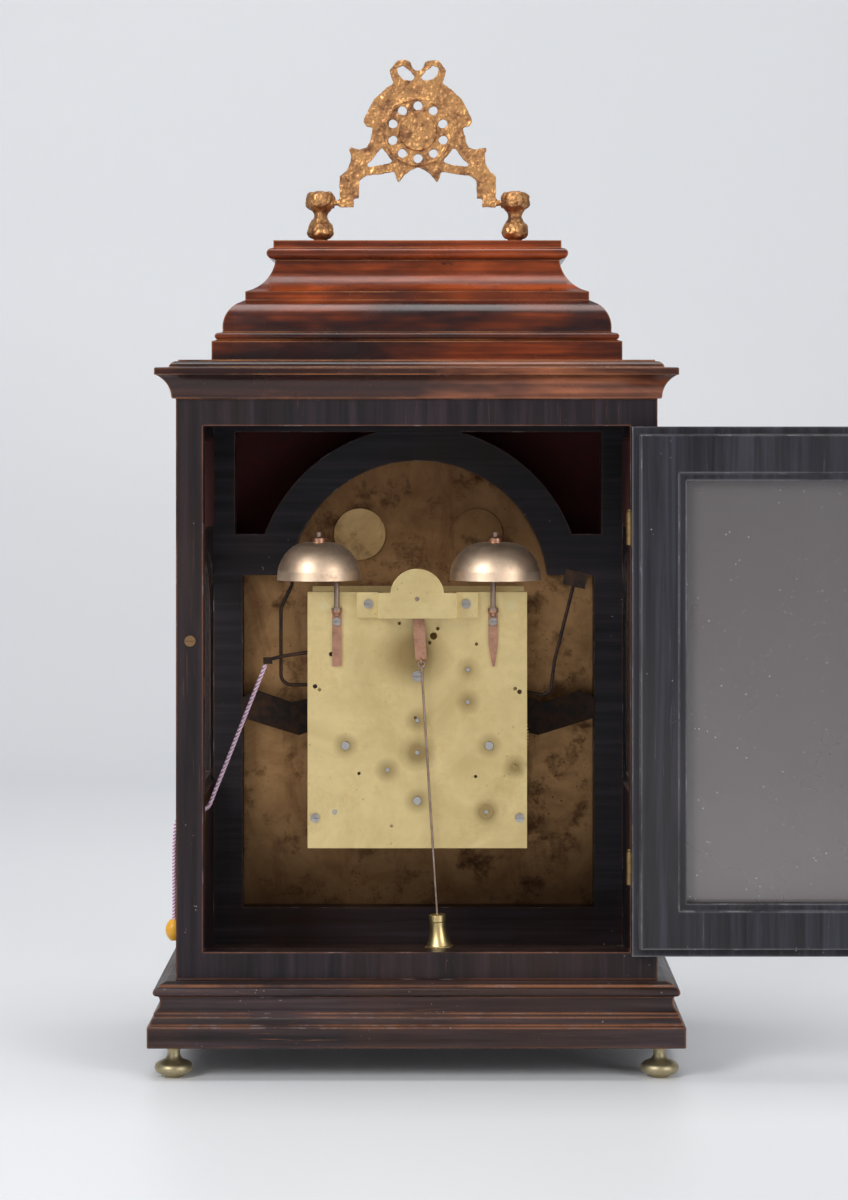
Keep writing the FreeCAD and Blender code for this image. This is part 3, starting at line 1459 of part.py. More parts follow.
def hung(label, piece, y):
    """Hang a piece at the angle the pendulum rests at; its origin lies on the verge."""
    lean = FreeCAD.Rotation(V(0, 1, 0), S.rest_tilt.value)
    piece.Placement = FreeCAD.Placement(V(), lean.multiply(piece.Placement.Rotation))
    for letter, size in zip("xyz", (0, y, verge_z)):
        bind(piece, "Placement.Base." + letter, size)
    keep(label, piece)


def verge():
    """The verge: arbor, two pallets over the crown wheel, and the strip that hangs outside."""
    low = level(front_plate_front + 0.3)
    high = level(back_plate_rear + COCK_STAND + 2.4)
    shapes = [rod(S.pivot_radius, low, high)]
    shapes.append(rod(2.0, 3, S.plate_gap.value - 3))
    for sense, turn in ((-1, 48), (1, -48)):
        middle = level(crown_y + S.crown_radius * sense * 0.95)
        pallet = Part.makeBox(0.9, 4.6, 4.4, V(-0.45, 0, middle - 2.2))
        pallet.rotate(V(0, 0, 0), V(0, 0, 1), turn)
        shapes.append(pallet)
    strip_low = level(strip_y)
    shapes.append(rod(3.2, strip_low - 1, strip_low + 3))
    shapes.append(Part.makeBox(6.4, 34, STRIP_STEEL, V(-3.2, 0, strip_low)))
    loop = Part.makeTorus(1.7, 0.5, V(0, 35.0, strip_low + STRIP_STEEL / 2), V(1, 0, 0))
    shapes.append(loop)
    hung("verge", formed("verge", joined(shapes), axis="Y"), front_plate_rear)


def pendulum():
    """A thin steel rod hooked under the strip, with a small bell-shaped brass bob."""
    y = strip_y + STRIP_STEEL / 2
    low = -S.pendulum_reach
    wire_low = (low + 4).value
    wire = Part.makeCylinder(S.rod_radius.value, ROD_TOP - wire_low, V(0, 0, wire_low))
    eye = Part.makeTorus(1.7, 0.5, V(0, 0, ROD_TOP + 1.5), V(0, 1, 0))
    hung("pendulum_rod", formed("pendulum_rod", wire.fuse(eye)), y)
    radius = S.bob_radius
    tall = S.bob_height
    rim = S.rod_radius + 0.02
    profile = [(rim, 0), (radius * 0.78, 0), (radius, 1.0, 0.4), (radius, 2.4),
               (radius * 0.9, 3.0, -0.12), (radius * 0.56, tall - 4.2),
               (radius * 0.6, tall - 3.8), (radius * 0.6, tall - 0.4), (radius * 0.52, tall),
               (rim, tall)]
    profile = [(p[0], low + p[1]) + p[2:] for p in profile]
    hung("pendulum_bob", turned("pendulum_bob", profile), y)


# ---------------------------------------------------------------- hammers, lever and cord

def hammer(label, at, points, head):
    """A hammer: its arbor between the plates, a short tail and a wire with the head."""
    shapes = arbor()
    arm = pipe(points, S.hammer_wire, 6)[0]
    for shape in (arm, head):
        shape.translate(V(-at[0].value, -front_plate_rear.value, -at[1].value))
        shape.rotate(V(), V(1, 0, 0), 90)
        shapes.append(shape)
    mounted(label, shapes, at)


def hammers():
    """The small hammer stands inside the left bell, the large one beside the right bell."""
    y = back_plate_front - 9.5
    x, z = left_hammer_at
    top_x = S.left_bell_out + S.left_bell_radius - S.bell_wall - 6.5
    head = Part.makeCylinder(2.8, 6.5, V(top_x.value - 4.0, y.value, bell_rim_z.value + 2.2),
                             V(1, 0, 0))
    hammer("small_hammer", left_hammer_at,
           [(x, y, z), (x + 19.6, y, z), (x + 19.6, y, bell_rim_z - 16), (top_x, y, bell_rim_z - 3),
            (top_x, y, bell_rim_z + 2.4)], head)
    x, z = right_hammer_at
    top_x = -S.right_bell_out - S.right_bell_radius - 19.4
    block = Part.makeBox(12.4, 9, 9, V(-6.2, -4.5, -4.5))
    block.rotate(V(), V(0, 1, 0), -12)
    block.translate(V(top_x.value, y.value, bell_rim_z.value + 0.4))
    hammer("large_hammer", right_hammer_at,
           [(x, y, z), (x - 17.5, y, z - 4), (x - 19.8, y, z + 16), (top_x, y, bell_rim_z + 0.4)],
           block)


lever_y = back_plate_front - 3.6
lever_tip = (lever_at[0] + 37.5, lever_at[1] - 4)


def repeat_lever():
    """The lever that the cord pulls down to make the clock repeat the hour."""
    x, z = lever_at
    block = Part.makeBox(5, 3.2, 3.6, V(lever_tip[0].value - 4.4, lever_y.value - 1.6,
                                        lever_tip[1].value - 1.8))
    bore = Part.makeCylinder(0.6, 6, V(lever_tip[0].value - 1.2, lever_y.value - 3,
                                       lever_tip[1].value), V(0, 1, 0))
    hammer("repeat_lever", lever_at, [(x, lever_y, z), (x + 14, lever_y, z + 0.5),
           (x + 27, lever_y, z - 1.5), (lever_tip[0], lever_y, lever_tip[1])], block.cut(bore))


bead_x = half_w + S.bead_radius + 0.4
bead_top = centre_z - 93.5
BEAD_TALL = 11.7


def pull_cord():
    """The cord from the lever through the side of the case to its bead."""
    tip_x, tip_z = lever_tip
    route = [(tip_x - 0.6, lever_y, tip_z - 2.2),
             (inner_w - 1.5, cord_hole_y, cord_hole_z + 1.4),
             (half_w + 3.6, cord_hole_y, cord_hole_z - 0.6),
             (bead_x, cord_hole_y, cord_hole_z - 15),
             (bead_x, cord_hole_y, bead_top + 0.1)]
    tube, radii, length = pipe(route, S.cord_radius)
    section = math.pi * S.cord_radius.value ** 2
    print("cord radii", [round(r, 1) for r in radii], "length", round(length, 1),
          "volume ratio", round(tube.Volume / (section * length), 4))
    keep("pull_cord", formed("pull_cord", tube))
    profile = [(0, 0), (2.0, 0, 0.22), (4.8, 5.85, 0.22), (2.0, 11.7), (0, 11.7)]
    outline = fitted(profile, (4.8, 11.7), (S.bead_radius, BEAD_TALL))
    keep("cord_bead", turned("cord_bead", outline, (bead_x, cord_hole_y, bead_top - BEAD_TALL)))


# ---------------------------------------------------------------- doors

def opened(piece):
    """Swing a piece of the rear door from shut to fully open about its hinge line."""
    piece.Placement = FreeCAD.Placement(V(), FreeCAD.Rotation(V(0, 0, 1), BACK_DOOR_OPEN))
    bind(piece, "Placement.Base.x", back_hinge_x * 2)
    bind(piece, "Placement.Base.y", back_hinge_y * 2)
    return piece


def back_door():
    """The glazed rear door with its stepped inner face, drawn shut and then swung open."""
    left = -opening_half + S.door_gap
    right = opening_half - S.door_gap
    low = opening_low + S.door_gap
    high = opening_high - S.door_gap
    step = S.back_door_step
    inner_face = rear - S.back_door_thick
    shelf = inner_face + 5
    member = S.door_member
    lap = 4
    hole = rectangle(left + member, right - member, low + member, high - member)
    rebate = rectangle(left + member - lap, right - member + lap, low + member - lap,
                       high - member + lap)
    body = slab("back_door_frame", "Y", [rectangle(left, right, low, high)], shelf, rear)
    raise_from(body, "Y", [rectangle(left + step, right - step, low + step, high - step)],
               inner_face, shelf)
    carve(body, "Y", [hole], inner_face, rear)
    glass_back = rear - 8
    glass_front = glass_back - S.glass_thick
    carve(body, "Y", [rebate], inner_face, glass_back)
    beds = []
    for z in back_hinge_z:
        beds.append(rectangle(left - 1, left + S.leaf_thick, z - S.hinge_length / 2,
                              z + S.hinge_length / 2))
    carve(body, "Y", beds, rear - S.leaf_width, rear)
    lock_z = (low + high) / 2
    carve(body, "Y", [rectangle(right - 22, right, lock_z - 14, lock_z + 14)], inner_face,
          inner_face + 11)
    keep("back_door_frame", opened(body))
    pane = slab("back_door_glass", "Y", [rebate], glass_front, glass_back)
    keep("back_door_glass", opened(pane))
    bead = slab("back_door_beading", "Y", [rebate, hole], inner_face + 1.2, glass_front)
    keep("back_door_beading", opened(bead))
    lock = slab("lock_case", "Y", [rectangle(right - 22, right, lock_z - 14, lock_z + 14)],
                inner_face, inner_face + 11)
    keep("back_door_lock", opened(lock))


front_half = half_w - 0.1
front_low = base_top + S.door_gap
front_high = case_top - S.door_gap
front_back = front + S.front_door_thick
front_arch_z = arch_z - 1
front_shoulder = centre_z + S.front_sight_width / 2
front_sill = centre_z - S.front_sight_width / 2


def front_door():
    """The arched front door: frame, glass and the brass sight round it."""
    outer = rectangle(-front_half, front_half, front_low, front_high)
    half = S.front_sight_width / 2
    sight = arch_loop(half, front_sill, front_shoulder, S.front_arch_radius, front_arch_z)
    ring = S.front_arch_radius + 24
    low = front_shoulder + 20
    high = front_arch_z + ring * S.spandrel_reach
    edge = front_half - 20
    corners = [corner_loop(sense, low, edge, high, ring, front_arch_z) for sense in (1, -1)]

    def around(lap):
        return arch_loop(half + lap, front_sill - lap, front_shoulder + lap,
                         S.front_arch_radius + lap, front_arch_z)

    lip = 3.5
    rebate = around(S.pane_lap)
    body = slab("front_door_frame", "Y", [outer, sight] + corners, front, front_back)
    carve(body, "Y", [rebate], front_back - 5, front_back)
    beds = []
    for z in front_hinge_z:
        beds.append(rectangle(front_half - S.leaf_width, front_half + 1, z - S.hinge_length / 2,
                              z + S.hinge_length / 2))
    carve(body, "Y", beds, front_back - S.leaf_thick, front_back)
    keep("front_door_frame", body)
    glass = slab("front_door_glass", "Y", [around(S.pane_lap - S.pane_play)], front_back - 5,
                 front_back - 5 + S.glass_thick)
    keep("front_door_glass", glass)
    sight_ring = slab("front_door_sight", "Y", [around(-S.pane_play), around(-lip)],
                      front_back - 9, front_back - 5)
    keep("front_door_sight", sight_ring)
    front_mounts(low, edge, high, ring)


def front_mounts(low, edge, high, ring):
    """Pierced brass frets in the upper corners of the door and two escutcheons."""
    pieces = []
    for sense in (1, -1):
        fret = slab("fret", "Y", [corner_loop(sense, low, edge, high, ring, front_arch_z)],
                    front + 3, front + 4.6)
        holes = []
        for row in range(6):
            z = low + (high - low) * ((row + 0.5) / 6)
            reach = root(ring * ring - (z - front_arch_z) * (z - front_arch_z))
            room = edge - reach
            count = max(1, int(room.value // 8))
            for column in range(count):
                x = reach + room * ((column + 0.5) / count)
                holes.append((x * sense, z, 2.3))
        carve(fret, "Y", holes, front + 3, front + 4.6)
        pieces.append(fret)
    for sense in (1, -1):
        x = (front_half - 15) * sense
        z = (front_low + front_high) / 2 - 10
        plate = slab("escutcheon", "Y", [[(x - 5, z), (x, z - 11, 0), (x + 5, z), (x + 7, z + 9),
                                          (x, z + 17), (x - 7, z + 9)]], front - 1.2, front)
        carve(plate, "Y", [rectangle(x - 1, x + 1, z - 3, z + 4), (x, z + 5.6, 2.0)],
              front - 1.2, front)
        pieces.append(plate)
    keep("front_door_mounts", group("front_door_mounts", pieces))


# ---------------------------------------------------------------- handle

pivot_z = clock_top + S.handle_pivot_lift


def handle_pillars():
    """Two cast paws with a rounded knob, each on a threaded shank."""
    profile = [(0, -17), (2.5, -17), (2.5, 0), (4.4, 0), (4.4, 2.0), (6.2, 2.6, 0.33),
               (8.0, 8.6, 0.25), (6.0, 12.6), (4.6, 15.6, -0.2), (5.4, 18.2), (8.4, 20.6, 0.2),
               (9.1, 25.4, 0.3), (6.2, 30.2), (0, 30.9)]
    outline = fitted(profile, (9.1, 30.9), (S.pillar_radius, S.pillar_height))
    pieces = []
    for sense in (-1, 1):
        x = S.pillar_span / 2 * sense
        paw = turned("paw_blank", outline, (x, 0, clock_top))
        near = S.pillar_span / 2 - S.pillar_radius - 1
        start = near if sense > 0 else -(near + 8.5)
        bore = cylinder("paw_bore", "X", (start, 0, pivot_z), 8.5,
                        S.handle_pivot_radius + S.pivot_play)
        pieces.append(cut("paw", paw, [bore]))
    keep("handle_pillars", group("handle_pillars", pieces))


# Half of the handle's outline and of its windows, as (reach from the middle, height above the
# feet), for a handle 85 high over pillars 110.9 apart.
HANDLE_DRAWN = (110.9, 85.0)
HANDLE_FOOT_X = 30.0
HANDLE_EDGE = [
    (0, 78.4), (1.9, 79.4), (4.3, 83.7), (8.1, 85.0), (11.9, 84.4), (14.3, 81.7), (16.6, 78.4),
    (15.7, 74.6), (14.5, 71.3), (16.6, 69.9), (20.4, 67.0), (25.2, 62.3), (28.0, 57.5),
    (30.4, 52.8), (31.4, 49.0), (29.5, 46.1), (26.1, 45.6), (27.1, 41.3), (28.0, 37.5),
    (29.5, 34.7), (33.3, 33.9), (36.6, 34.7), (39.4, 34.9), (39.6, 32.8), (38.5, 29.9),
    (39.0, 26.1), (41.3, 21.4), (45.0, 18.1), (45.0, 0), (36.2, 0), (36.2, 4.8), (33.2, 5.2),
    (32.9, 15.7), (29.0, 18.1), (20.4, 19.0), (13.8, 20.4), (12.1, 15.2), (10.7, 14.3),
    (7.6, 18.1), (4.3, 20.9), (0, 22.8)]
SWAG_WINDOW = [(29.5, 23.8), (25.2, 28.0), (20.6, 34.0), (17.6, 29.9), (14.6, 26.6),
               (20.4, 25.0)]
RIBBON_WINDOW = [(11.4, 79.8), (8.5, 80.8), (4.5, 77.5), (2.2, 74.5), (4.0, 72.9), (8.0, 73.5),
                 (10.8, 76.5)]
MEDALLION_HEIGHT = 43.3
MEDALLION_RADIUS = 11.0
MEDALLION_RAISED = 1.2
RING_RADII = (17.9, 19.6)
RING_RAISED = 0.8
PETAL_HOLES = (10, 15.0, 2.1)
ARM_LIFT = 3.0
ARM_START = 44.0
ARM_SHORT = 1.8


def handle():
    """The pierced bow handle: ribbon, medallion, swags and two stepped legs."""
    thick = S.handle_thick.value
    factor = S.handle_height.value / HANDLE_DRAWN[1]
    reach = (S.pillar_span.value - HANDLE_DRAWN[0]) / 2

    def flat(points, side):
        spread = [(x + (reach if x > HANDLE_FOOT_X else 0), z) for x, z in points]
        return [V(x * side, 0, z * factor) for x, z in spread]

    def plate(loop):
        return Part.Face(Part.makePolygon(loop + loop[:1])).extrude(V(0, thick, 0))

    def round_bar(radius, at, raised=0.0):
        return Part.makeCylinder(radius, thick + 2 * raised, V(at[0], -raised, at[1]),
                                 V(0, 1, 0))

    middle = (0, MEDALLION_HEIGHT * factor)
    ring = round_bar(RING_RADII[1], middle, RING_RAISED)
    ring = ring.cut(round_bar(RING_RADII[0], middle, RING_RAISED))
    outline = plate(flat(HANDLE_EDGE, 1) + flat(HANDLE_EDGE[1:-1], -1)[::-1])
    shape = joined([outline, ring, round_bar(MEDALLION_RADIUS, middle, MEDALLION_RAISED)])
    cutters = [plate(flat(window, side)) for side in (1, -1)
               for window in (SWAG_WINDOW, RIBBON_WINDOW)]
    count, ring_radius, hole_radius = PETAL_HOLES
    for number in range(count):
        angle = 2 * math.pi * (number + 0.5) / count
        at = (ring_radius * math.cos(angle), middle[1] + ring_radius * math.sin(angle))
        cutters.append(round_bar(hole_radius, at, MEDALLION_RAISED))
    shape = shape.cut(Part.makeCompound(cutters))
    start = ARM_START + reach
    tip = S.pillar_span.value / 2 - ARM_SHORT
    arms = [Part.makeCylinder(S.handle_pivot_radius.value, tip - start,
                              V(start * side, thick / 2, ARM_LIFT), V(side, 0, 0))
            for side in (1, -1)]
    shape = joined([shape] + arms)
    shape.translate(V(0, -thick / 2, pivot_z.value - ARM_LIFT))
    keep("carrying_handle", formed("carrying_handle", shape))


# ---------------------------------------------------------------- build

def build():
    feet()
    plinth()
    boards()
    cornice()
    bell_top()
    side_panels()
    side_fillings()
    rear_frame()
    hinges()
    mask_frame()
    dial()
    chapter_ring()
    dial_spandrels()
    pointer()
    plates()
    pillars()
    keep("escapement_cocks", group("escapement_cocks", [back_cock(), potence()]))
    bells()
    bell_stands()
    screws_and_nuts()
    brackets()
    going_train()
    strike_train()
    motion_work()
    verge()
    pendulum()
    hammers()
    repeat_lever()
    pull_cord()
    back_door()
    front_door()
    handle_pillars()
    handle()
    doc.recompute()


def check():
    """Stop on any failed object, on a pocket that cut nothing and on a bad shape."""
    faults = []
    for thing in doc.Objects:
        if "Invalid" in thing.State or "Error" in thing.State:
            faults.append(thing.Label + " failed")
    if faults:
        raise RuntimeError("; ".join(faults))
    for feature in carvings:
        if feature.Shape.Volume > feature.BaseFeature.Shape.Volume - 1e-3:
            faults.append(feature.Label + " cut nothing")
    for label, piece in nodes.items():
        if piece.Shape.isNull() or not piece.Shape.isValid() or not piece.Shape.Solids:
            faults.append(label + " has a bad shape")
    if faults:
        raise RuntimeError("; ".join(faults))


build()
check()
os.makedirs("parts", exist_ok=True)
for label, piece in nodes.items():
    piece.Shape.exportStep("parts/" + label + ".step")
print(len(nodes), "sub-parts written")
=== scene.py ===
import json
import math

import bpy
from mathutils import Matrix, Vector


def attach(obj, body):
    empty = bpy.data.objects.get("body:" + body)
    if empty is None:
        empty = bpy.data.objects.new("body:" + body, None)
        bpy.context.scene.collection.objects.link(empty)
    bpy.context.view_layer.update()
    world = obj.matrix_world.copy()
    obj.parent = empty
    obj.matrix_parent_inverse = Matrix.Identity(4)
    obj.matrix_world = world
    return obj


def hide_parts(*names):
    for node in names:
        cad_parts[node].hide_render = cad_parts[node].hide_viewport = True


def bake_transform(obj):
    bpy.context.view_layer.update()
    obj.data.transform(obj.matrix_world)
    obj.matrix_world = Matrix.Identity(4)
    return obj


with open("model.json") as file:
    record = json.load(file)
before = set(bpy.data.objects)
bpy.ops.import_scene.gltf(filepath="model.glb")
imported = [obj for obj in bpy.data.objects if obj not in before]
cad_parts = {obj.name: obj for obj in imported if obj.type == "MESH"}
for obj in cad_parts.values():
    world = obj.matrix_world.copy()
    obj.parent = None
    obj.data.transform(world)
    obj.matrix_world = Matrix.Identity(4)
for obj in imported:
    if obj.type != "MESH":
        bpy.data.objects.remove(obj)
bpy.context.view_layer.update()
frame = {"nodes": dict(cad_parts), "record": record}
nodes = frame["nodes"]

# Places below are given from the middle of the case at table height, in metres. The frame's
# origin lies under the middle of the whole clock with its rear door open.
CASE_MIDDLE = Vector((0.1009, -0.004, 0.0))


def at(x, y, z):
    return tuple(Vector((x, y, z)) + CASE_MIDDLE)


# ---------------------------------------------------------------- camera

# The photograph was taken level, from straight behind, a little above the middle of the case.
PHOTO_SIZE = (848, 1200)
EYE = at(-0.0132, 1.785, 0.3459)
FOCAL_PIXELS = 3131
EYE_PIXEL = (441, 439)
SENSOR = 36.0

camera_data = bpy.data.cameras.new("photo_camera")
camera_data.sensor_fit = "VERTICAL"
camera_data.sensor_height = SENSOR
camera_data.lens = SENSOR * FOCAL_PIXELS / PHOTO_SIZE[1]
camera_data.shift_x = (PHOTO_SIZE[0] / 2 - EYE_PIXEL[0]) / PHOTO_SIZE[1]
camera_data.shift_y = (EYE_PIXEL[1] - PHOTO_SIZE[1] / 2) / PHOTO_SIZE[1]
camera_data.clip_start = 0.05
camera = bpy.data.objects.new("photo_camera", camera_data)
camera.location = EYE
camera.rotation_euler = (math.pi / 2, 0, math.pi)
bpy.context.scene.collection.objects.link(camera)
bpy.context.scene.camera = camera


# ---------------------------------------------------------------- material tools

EASED_SAMPLES = 4
EDGE_SAMPLES = 6
# How far the eased normal and the true one agree: on a worn edge, and on a flat.
EDGE_SURE = 0.93
EDGE_NONE = 0.99


class Shader:
    """A node material that is built up one wired node at a time."""

    def __init__(self, name):
        self.material = bpy.data.materials.new(name)
        self.material.use_nodes = True
        self.tree = self.material.node_tree
        self.surface = self.tree.nodes["Principled BSDF"]
        self.place = self.add("ShaderNodeTexCoord").outputs["Object"]

    def add(self, kind):
        return self.tree.nodes.new(kind)

    def wire(self, value, socket):
        if isinstance(value, bpy.types.NodeSocket):
            self.tree.links.new(value, socket)
        else:
            socket.default_value = value

    def stretch(self, scale, turn=(0, 0, 0)):
        """The object's own coordinates, scaled and turned."""
        node = self.add("ShaderNodeMapping")
        node.inputs["Rotation"].default_value = turn
        node.inputs["Scale"].default_value = scale
        self.wire(self.place, node.inputs["Vector"])
        return node.outputs["Vector"]

    def noise(self, scale, detail=4.0, rough=0.55, at=None, bend=0.0):
        node = self.add("ShaderNodeTexNoise")
        node.inputs["Scale"].default_value = scale
        node.inputs["Detail"].default_value = detail
        node.inputs["Roughness"].default_value = rough
        node.inputs["Distortion"].default_value = bend
        self.wire(at or self.place, node.inputs["Vector"])
        return node.outputs["Fac"]

    def wave(self, scale, bend, at, axis, detail=3.0):
        node = self.add("ShaderNodeTexWave")
        node.wave_type = "BANDS"
        node.bands_direction = axis
        node.inputs["Scale"].default_value = scale
        node.inputs["Distortion"].default_value = bend
        node.inputs["Detail"].default_value = detail
        self.wire(at, node.inputs["Vector"])
        return node.outputs["Fac"]

    def cells(self, scale):
        node = self.add("ShaderNodeTexVoronoi")
        node.inputs["Scale"].default_value = scale
        self.wire(self.place, node.inputs["Vector"])
        return node.outputs["Distance"]

    def ramp(self, fac, *stops):
        """Stops are (place, value), where value is a grey or a colour."""
        node = self.add("ShaderNodeValToRGB")
        ramp = node.color_ramp
        while len(ramp.elements) < len(stops):
            ramp.elements.new(0.5)
        for element, (spot, value) in zip(ramp.elements, stops):
            element.position = spot
            colour = value if isinstance(value, tuple) else (value, value, value)
            element.color = tuple(colour) + (1.0,)
        self.wire(fac, node.inputs["Fac"])
        return node.outputs["Color"]

    def mix(self, fac, a, b):
        """The first colour where fac is nought, the second where it is one."""
        node = self.add("ShaderNodeMix")
        node.data_type = "RGBA"
        for value, socket in ((fac, 0), (a, 6), (b, 7)):
            if isinstance(value, tuple):
                value = tuple(value) + (1.0,)
            self.wire(value, node.inputs[socket])
        return node.outputs[2]

    def sums(self, how, a, b):
        node = self.add("ShaderNodeMath")
        node.operation = how
        self.wire(a, node.inputs[0])
        self.wire(b, node.inputs[1])
        return node.outputs[0]

    def axis(self, letter):
        node = self.add("ShaderNodeSeparateXYZ")
        self.wire(self.place, node.inputs[0])
        return node.outputs[letter]

    def above(self, letter, level):
        """One where the coordinate is over the level, nought elsewhere."""
        return self.sums("GREATER_THAN", self.axis(letter), level)

    def off_axis(self, x, z):
        """Distance from a line along Y through (x, z)."""
        across = self.sums("SUBTRACT", self.axis("X"), x)
        up = self.sums("SUBTRACT", self.axis("Z"), z)
        square = self.sums("ADD", self.sums("MULTIPLY", across, across),
                           self.sums("MULTIPLY", up, up))
        return self.sums("POWER", square, 0.5)

    def rounded(self, radius):
        """The surface's normal with its edges eased."""
        bevel = self.add("ShaderNodeBevel")
        bevel.samples = EASED_SAMPLES
        bevel.inputs["Radius"].default_value = radius
        return bevel.outputs["Normal"]

    def bump(self, height, strength, distance, over=None):
        node = self.add("ShaderNodeBump")
        node.inputs["Strength"].default_value = strength
        node.inputs["Distance"].default_value = distance
        self.wire(height, node.inputs["Height"])
        if over is not None:
            self.wire(over, node.inputs["Normal"])
        return node.outputs["Normal"]

    def edges(self, radius):
        """White where the surface turns within the given radius, black on flats."""
        bevel = self.add("ShaderNodeBevel")
        bevel.samples = EDGE_SAMPLES
        bevel.inputs["Radius"].default_value = radius
        geometry = self.add("ShaderNodeNewGeometry")
        dot = self.add("ShaderNodeVectorMath")
        dot.operation = "DOT_PRODUCT"
        self.wire(bevel.outputs["Normal"], dot.inputs[0])
        self.wire(geometry.outputs["Normal"], dot.inputs[1])
        return self.ramp(dot.outputs["Value"], (EDGE_SURE, 1.0), (EDGE_NONE, 0.0))

    def finish(self, colour, rough, normal=None, metal=0.0, coat=0.0, **more):
        self.wire(colour, self.surface.inputs["Base Color"])
        self.wire(rough, self.surface.inputs["Roughness"])
        self.wire(metal, self.surface.inputs["Metallic"])
        self.wire(coat, self.surface.inputs["Coat Weight"])
        if normal is not None:
            self.wire(normal, self.surface.inputs["Normal"])
        for socket, value in more.items():
            self.wire(value, self.surface.inputs[socket.replace("_", " ")])
        return self.material


def coat_with(material, *names):
    for name in names:
        mesh = nodes[name].data
        mesh.materials.clear()
        mesh.materials.append(material)
        for polygon in mesh.polygons:
            polygon.material_index = 0


# ---------------------------------------------------------------- materials

GRAIN = {"X": (5, 150, 150), "Z": (150, 150, 5)}
WOOD_SPECULAR = 0.3


def dark_wood(name, along, dark, worn, dust, wear, rough=0.42):
    """Ebonised wood, its grain along one axis, rubbed through to brown and pale at the edges."""
    s = Shader(name)
    grain = s.noise(1.0, 7.0, 0.68, s.stretch(GRAIN[along]), 0.5)
    fine = s.noise(3.4, 6.0, 0.72, s.stretch(GRAIN[along]))
    patches = s.noise(16.0, 5.0, 0.62)
    colour = s.ramp(grain, (0.34, tuple(c * 0.3 for c in dark)), (0.5, dark),
                    (0.7, tuple(c * 2.6 for c in dark)))
    warm = s.ramp(s.noise(9.0, 4.0, 0.6, s.stretch((1.0, 1.0, 0.35))), (0.45, 0.0), (0.7, 0.45))
    colour = s.mix(warm, colour, tuple(c * 0.22 for c in worn))
    rubbed = s.sums("MULTIPLY", s.edges(0.0018), s.ramp(patches, (0.36, 0.1), (0.56, 1.0)))
    rubbed = s.sums("MULTIPLY", rubbed, wear)
    colour = s.mix(rubbed, colour, worn)
    scratches = s.sums("MULTIPLY", s.ramp(fine, (0.62, 0.0), (0.72, 1.0)), wear * 0.55)
    colour = s.mix(scratches, colour, worn)
    pale = s.sums("MULTIPLY", s.edges(0.0009),
                  s.ramp(s.noise(70.0, 5.0, 0.75), (0.54, 0.0), (0.64, 1.0)))
    specks = s.sums("MULTIPLY", s.ramp(s.cells(240.0), (0.06, 1.0), (0.12, 0.0)),
                    s.ramp(s.noise(38.0, 3.0), (0.58, 0.0), (0.64, 0.8)))
    colour = s.mix(s.sums("MAXIMUM", s.sums("MULTIPLY", pale, 0.8), specks), colour, dust)
    shine = s.ramp(patches, (0.3, rough - 0.1), (0.7, rough + 0.16))
    return s.finish(colour, shine, s.bump(grain, 0.45, 0.0004, s.rounded(0.0006)), coat=0.03,
                    Specular_IOR_Level=WOOD_SPECULAR)


def figured_wood(name, low, high, stain_share):
    """Orange-red figured wood under old varnish, with dark stains and level grain."""
    s = Shader(name)
    swirl = s.noise(10.0, 6.0, 0.6, s.stretch((0.45, 0.45, 2.6)), 1.9)
    bands = s.wave(16.0, 6.0, s.stretch((0.3, 0.3, 3.4)), "Z")
    fine = s.noise(60.0, 6.0, 0.7, s.stretch((0.1, 0.1, 3.4)))
    flame = tuple(min(1.0, c * 1.7) for c in high)
    colour = s.ramp(swirl, (0.3, low), (0.44, high), (0.56, flame), (0.68, high), (0.82, low))
    colour = s.mix(s.ramp(bands, (0.1, 0.45), (0.6, 0.0)), colour, (0.035, 0.009, 0.006))
    colour = s.mix(s.ramp(fine, (0.48, 0.0), (0.72, 0.5)), colour, (0.03, 0.009, 0.006))
    stains = s.ramp(s.noise(6.5, 5.0, 0.65, s.stretch((0.55, 0.55, 1.9))), (0.4, stain_share),
                    (0.53, 0.0))
    colour = s.mix(stains, colour, (0.014, 0.007, 0.008))
    ink = s.ramp(s.noise(120.0, 4.0, 0.7, s.stretch((0.5, 0.5, 1.0))), (0.68, 0.0), (0.74, 0.8))
    colour = s.mix(ink, colour, (0.01, 0.006, 0.006))
    worn = s.sums("MULTIPLY", s.edges(0.0014), s.ramp(s.noise(26.0), (0.36, 0.1), (0.6, 0.8)))
    colour = s.mix(worn, colour, (0.42, 0.16, 0.06))
    shine = s.ramp(s.noise(34.0, 4.0), (0.35, 0.14), (0.7, 0.34))
    return s.finish(colour, shine, s.bump(fine, 0.25, 0.0003, s.rounded(0.0005)), coat=0.15,
                    Coat_Roughness=0.16, Specular_IOR_Level=WOOD_SPECULAR)


def brass_colour(s, colour_a, colour_b, stain, stains, scale):
    """The colour of mottled, spotted brass, then its mottle and its blots by themselves."""
    mottle = s.noise(scale, 7.0, 0.68, None, 0.5)
    colour = s.ramp(mottle, (0.34, colour_b), (0.62, colour_a))
    blots = s.sums("MULTIPLY", s.ramp(s.noise(scale * 1.9, 7.0, 0.75), (0.52, 0.0), (0.66, 1.0)),
                   stains)
    colour = s.mix(blots, colour, stain)
    spots = s.sums("MULTIPLY", s.ramp(s.cells(scale * 7), (0.06, 1.0), (0.13, 0.0)),
                   s.ramp(s.noise(scale * 0.8, 3.0), (0.5, 0.0), (0.6, min(1.0, stains * 1.6))))
    colour = s.mix(spots, colour, tuple(c * 0.4 for c in stain))
    return colour, mottle, blots


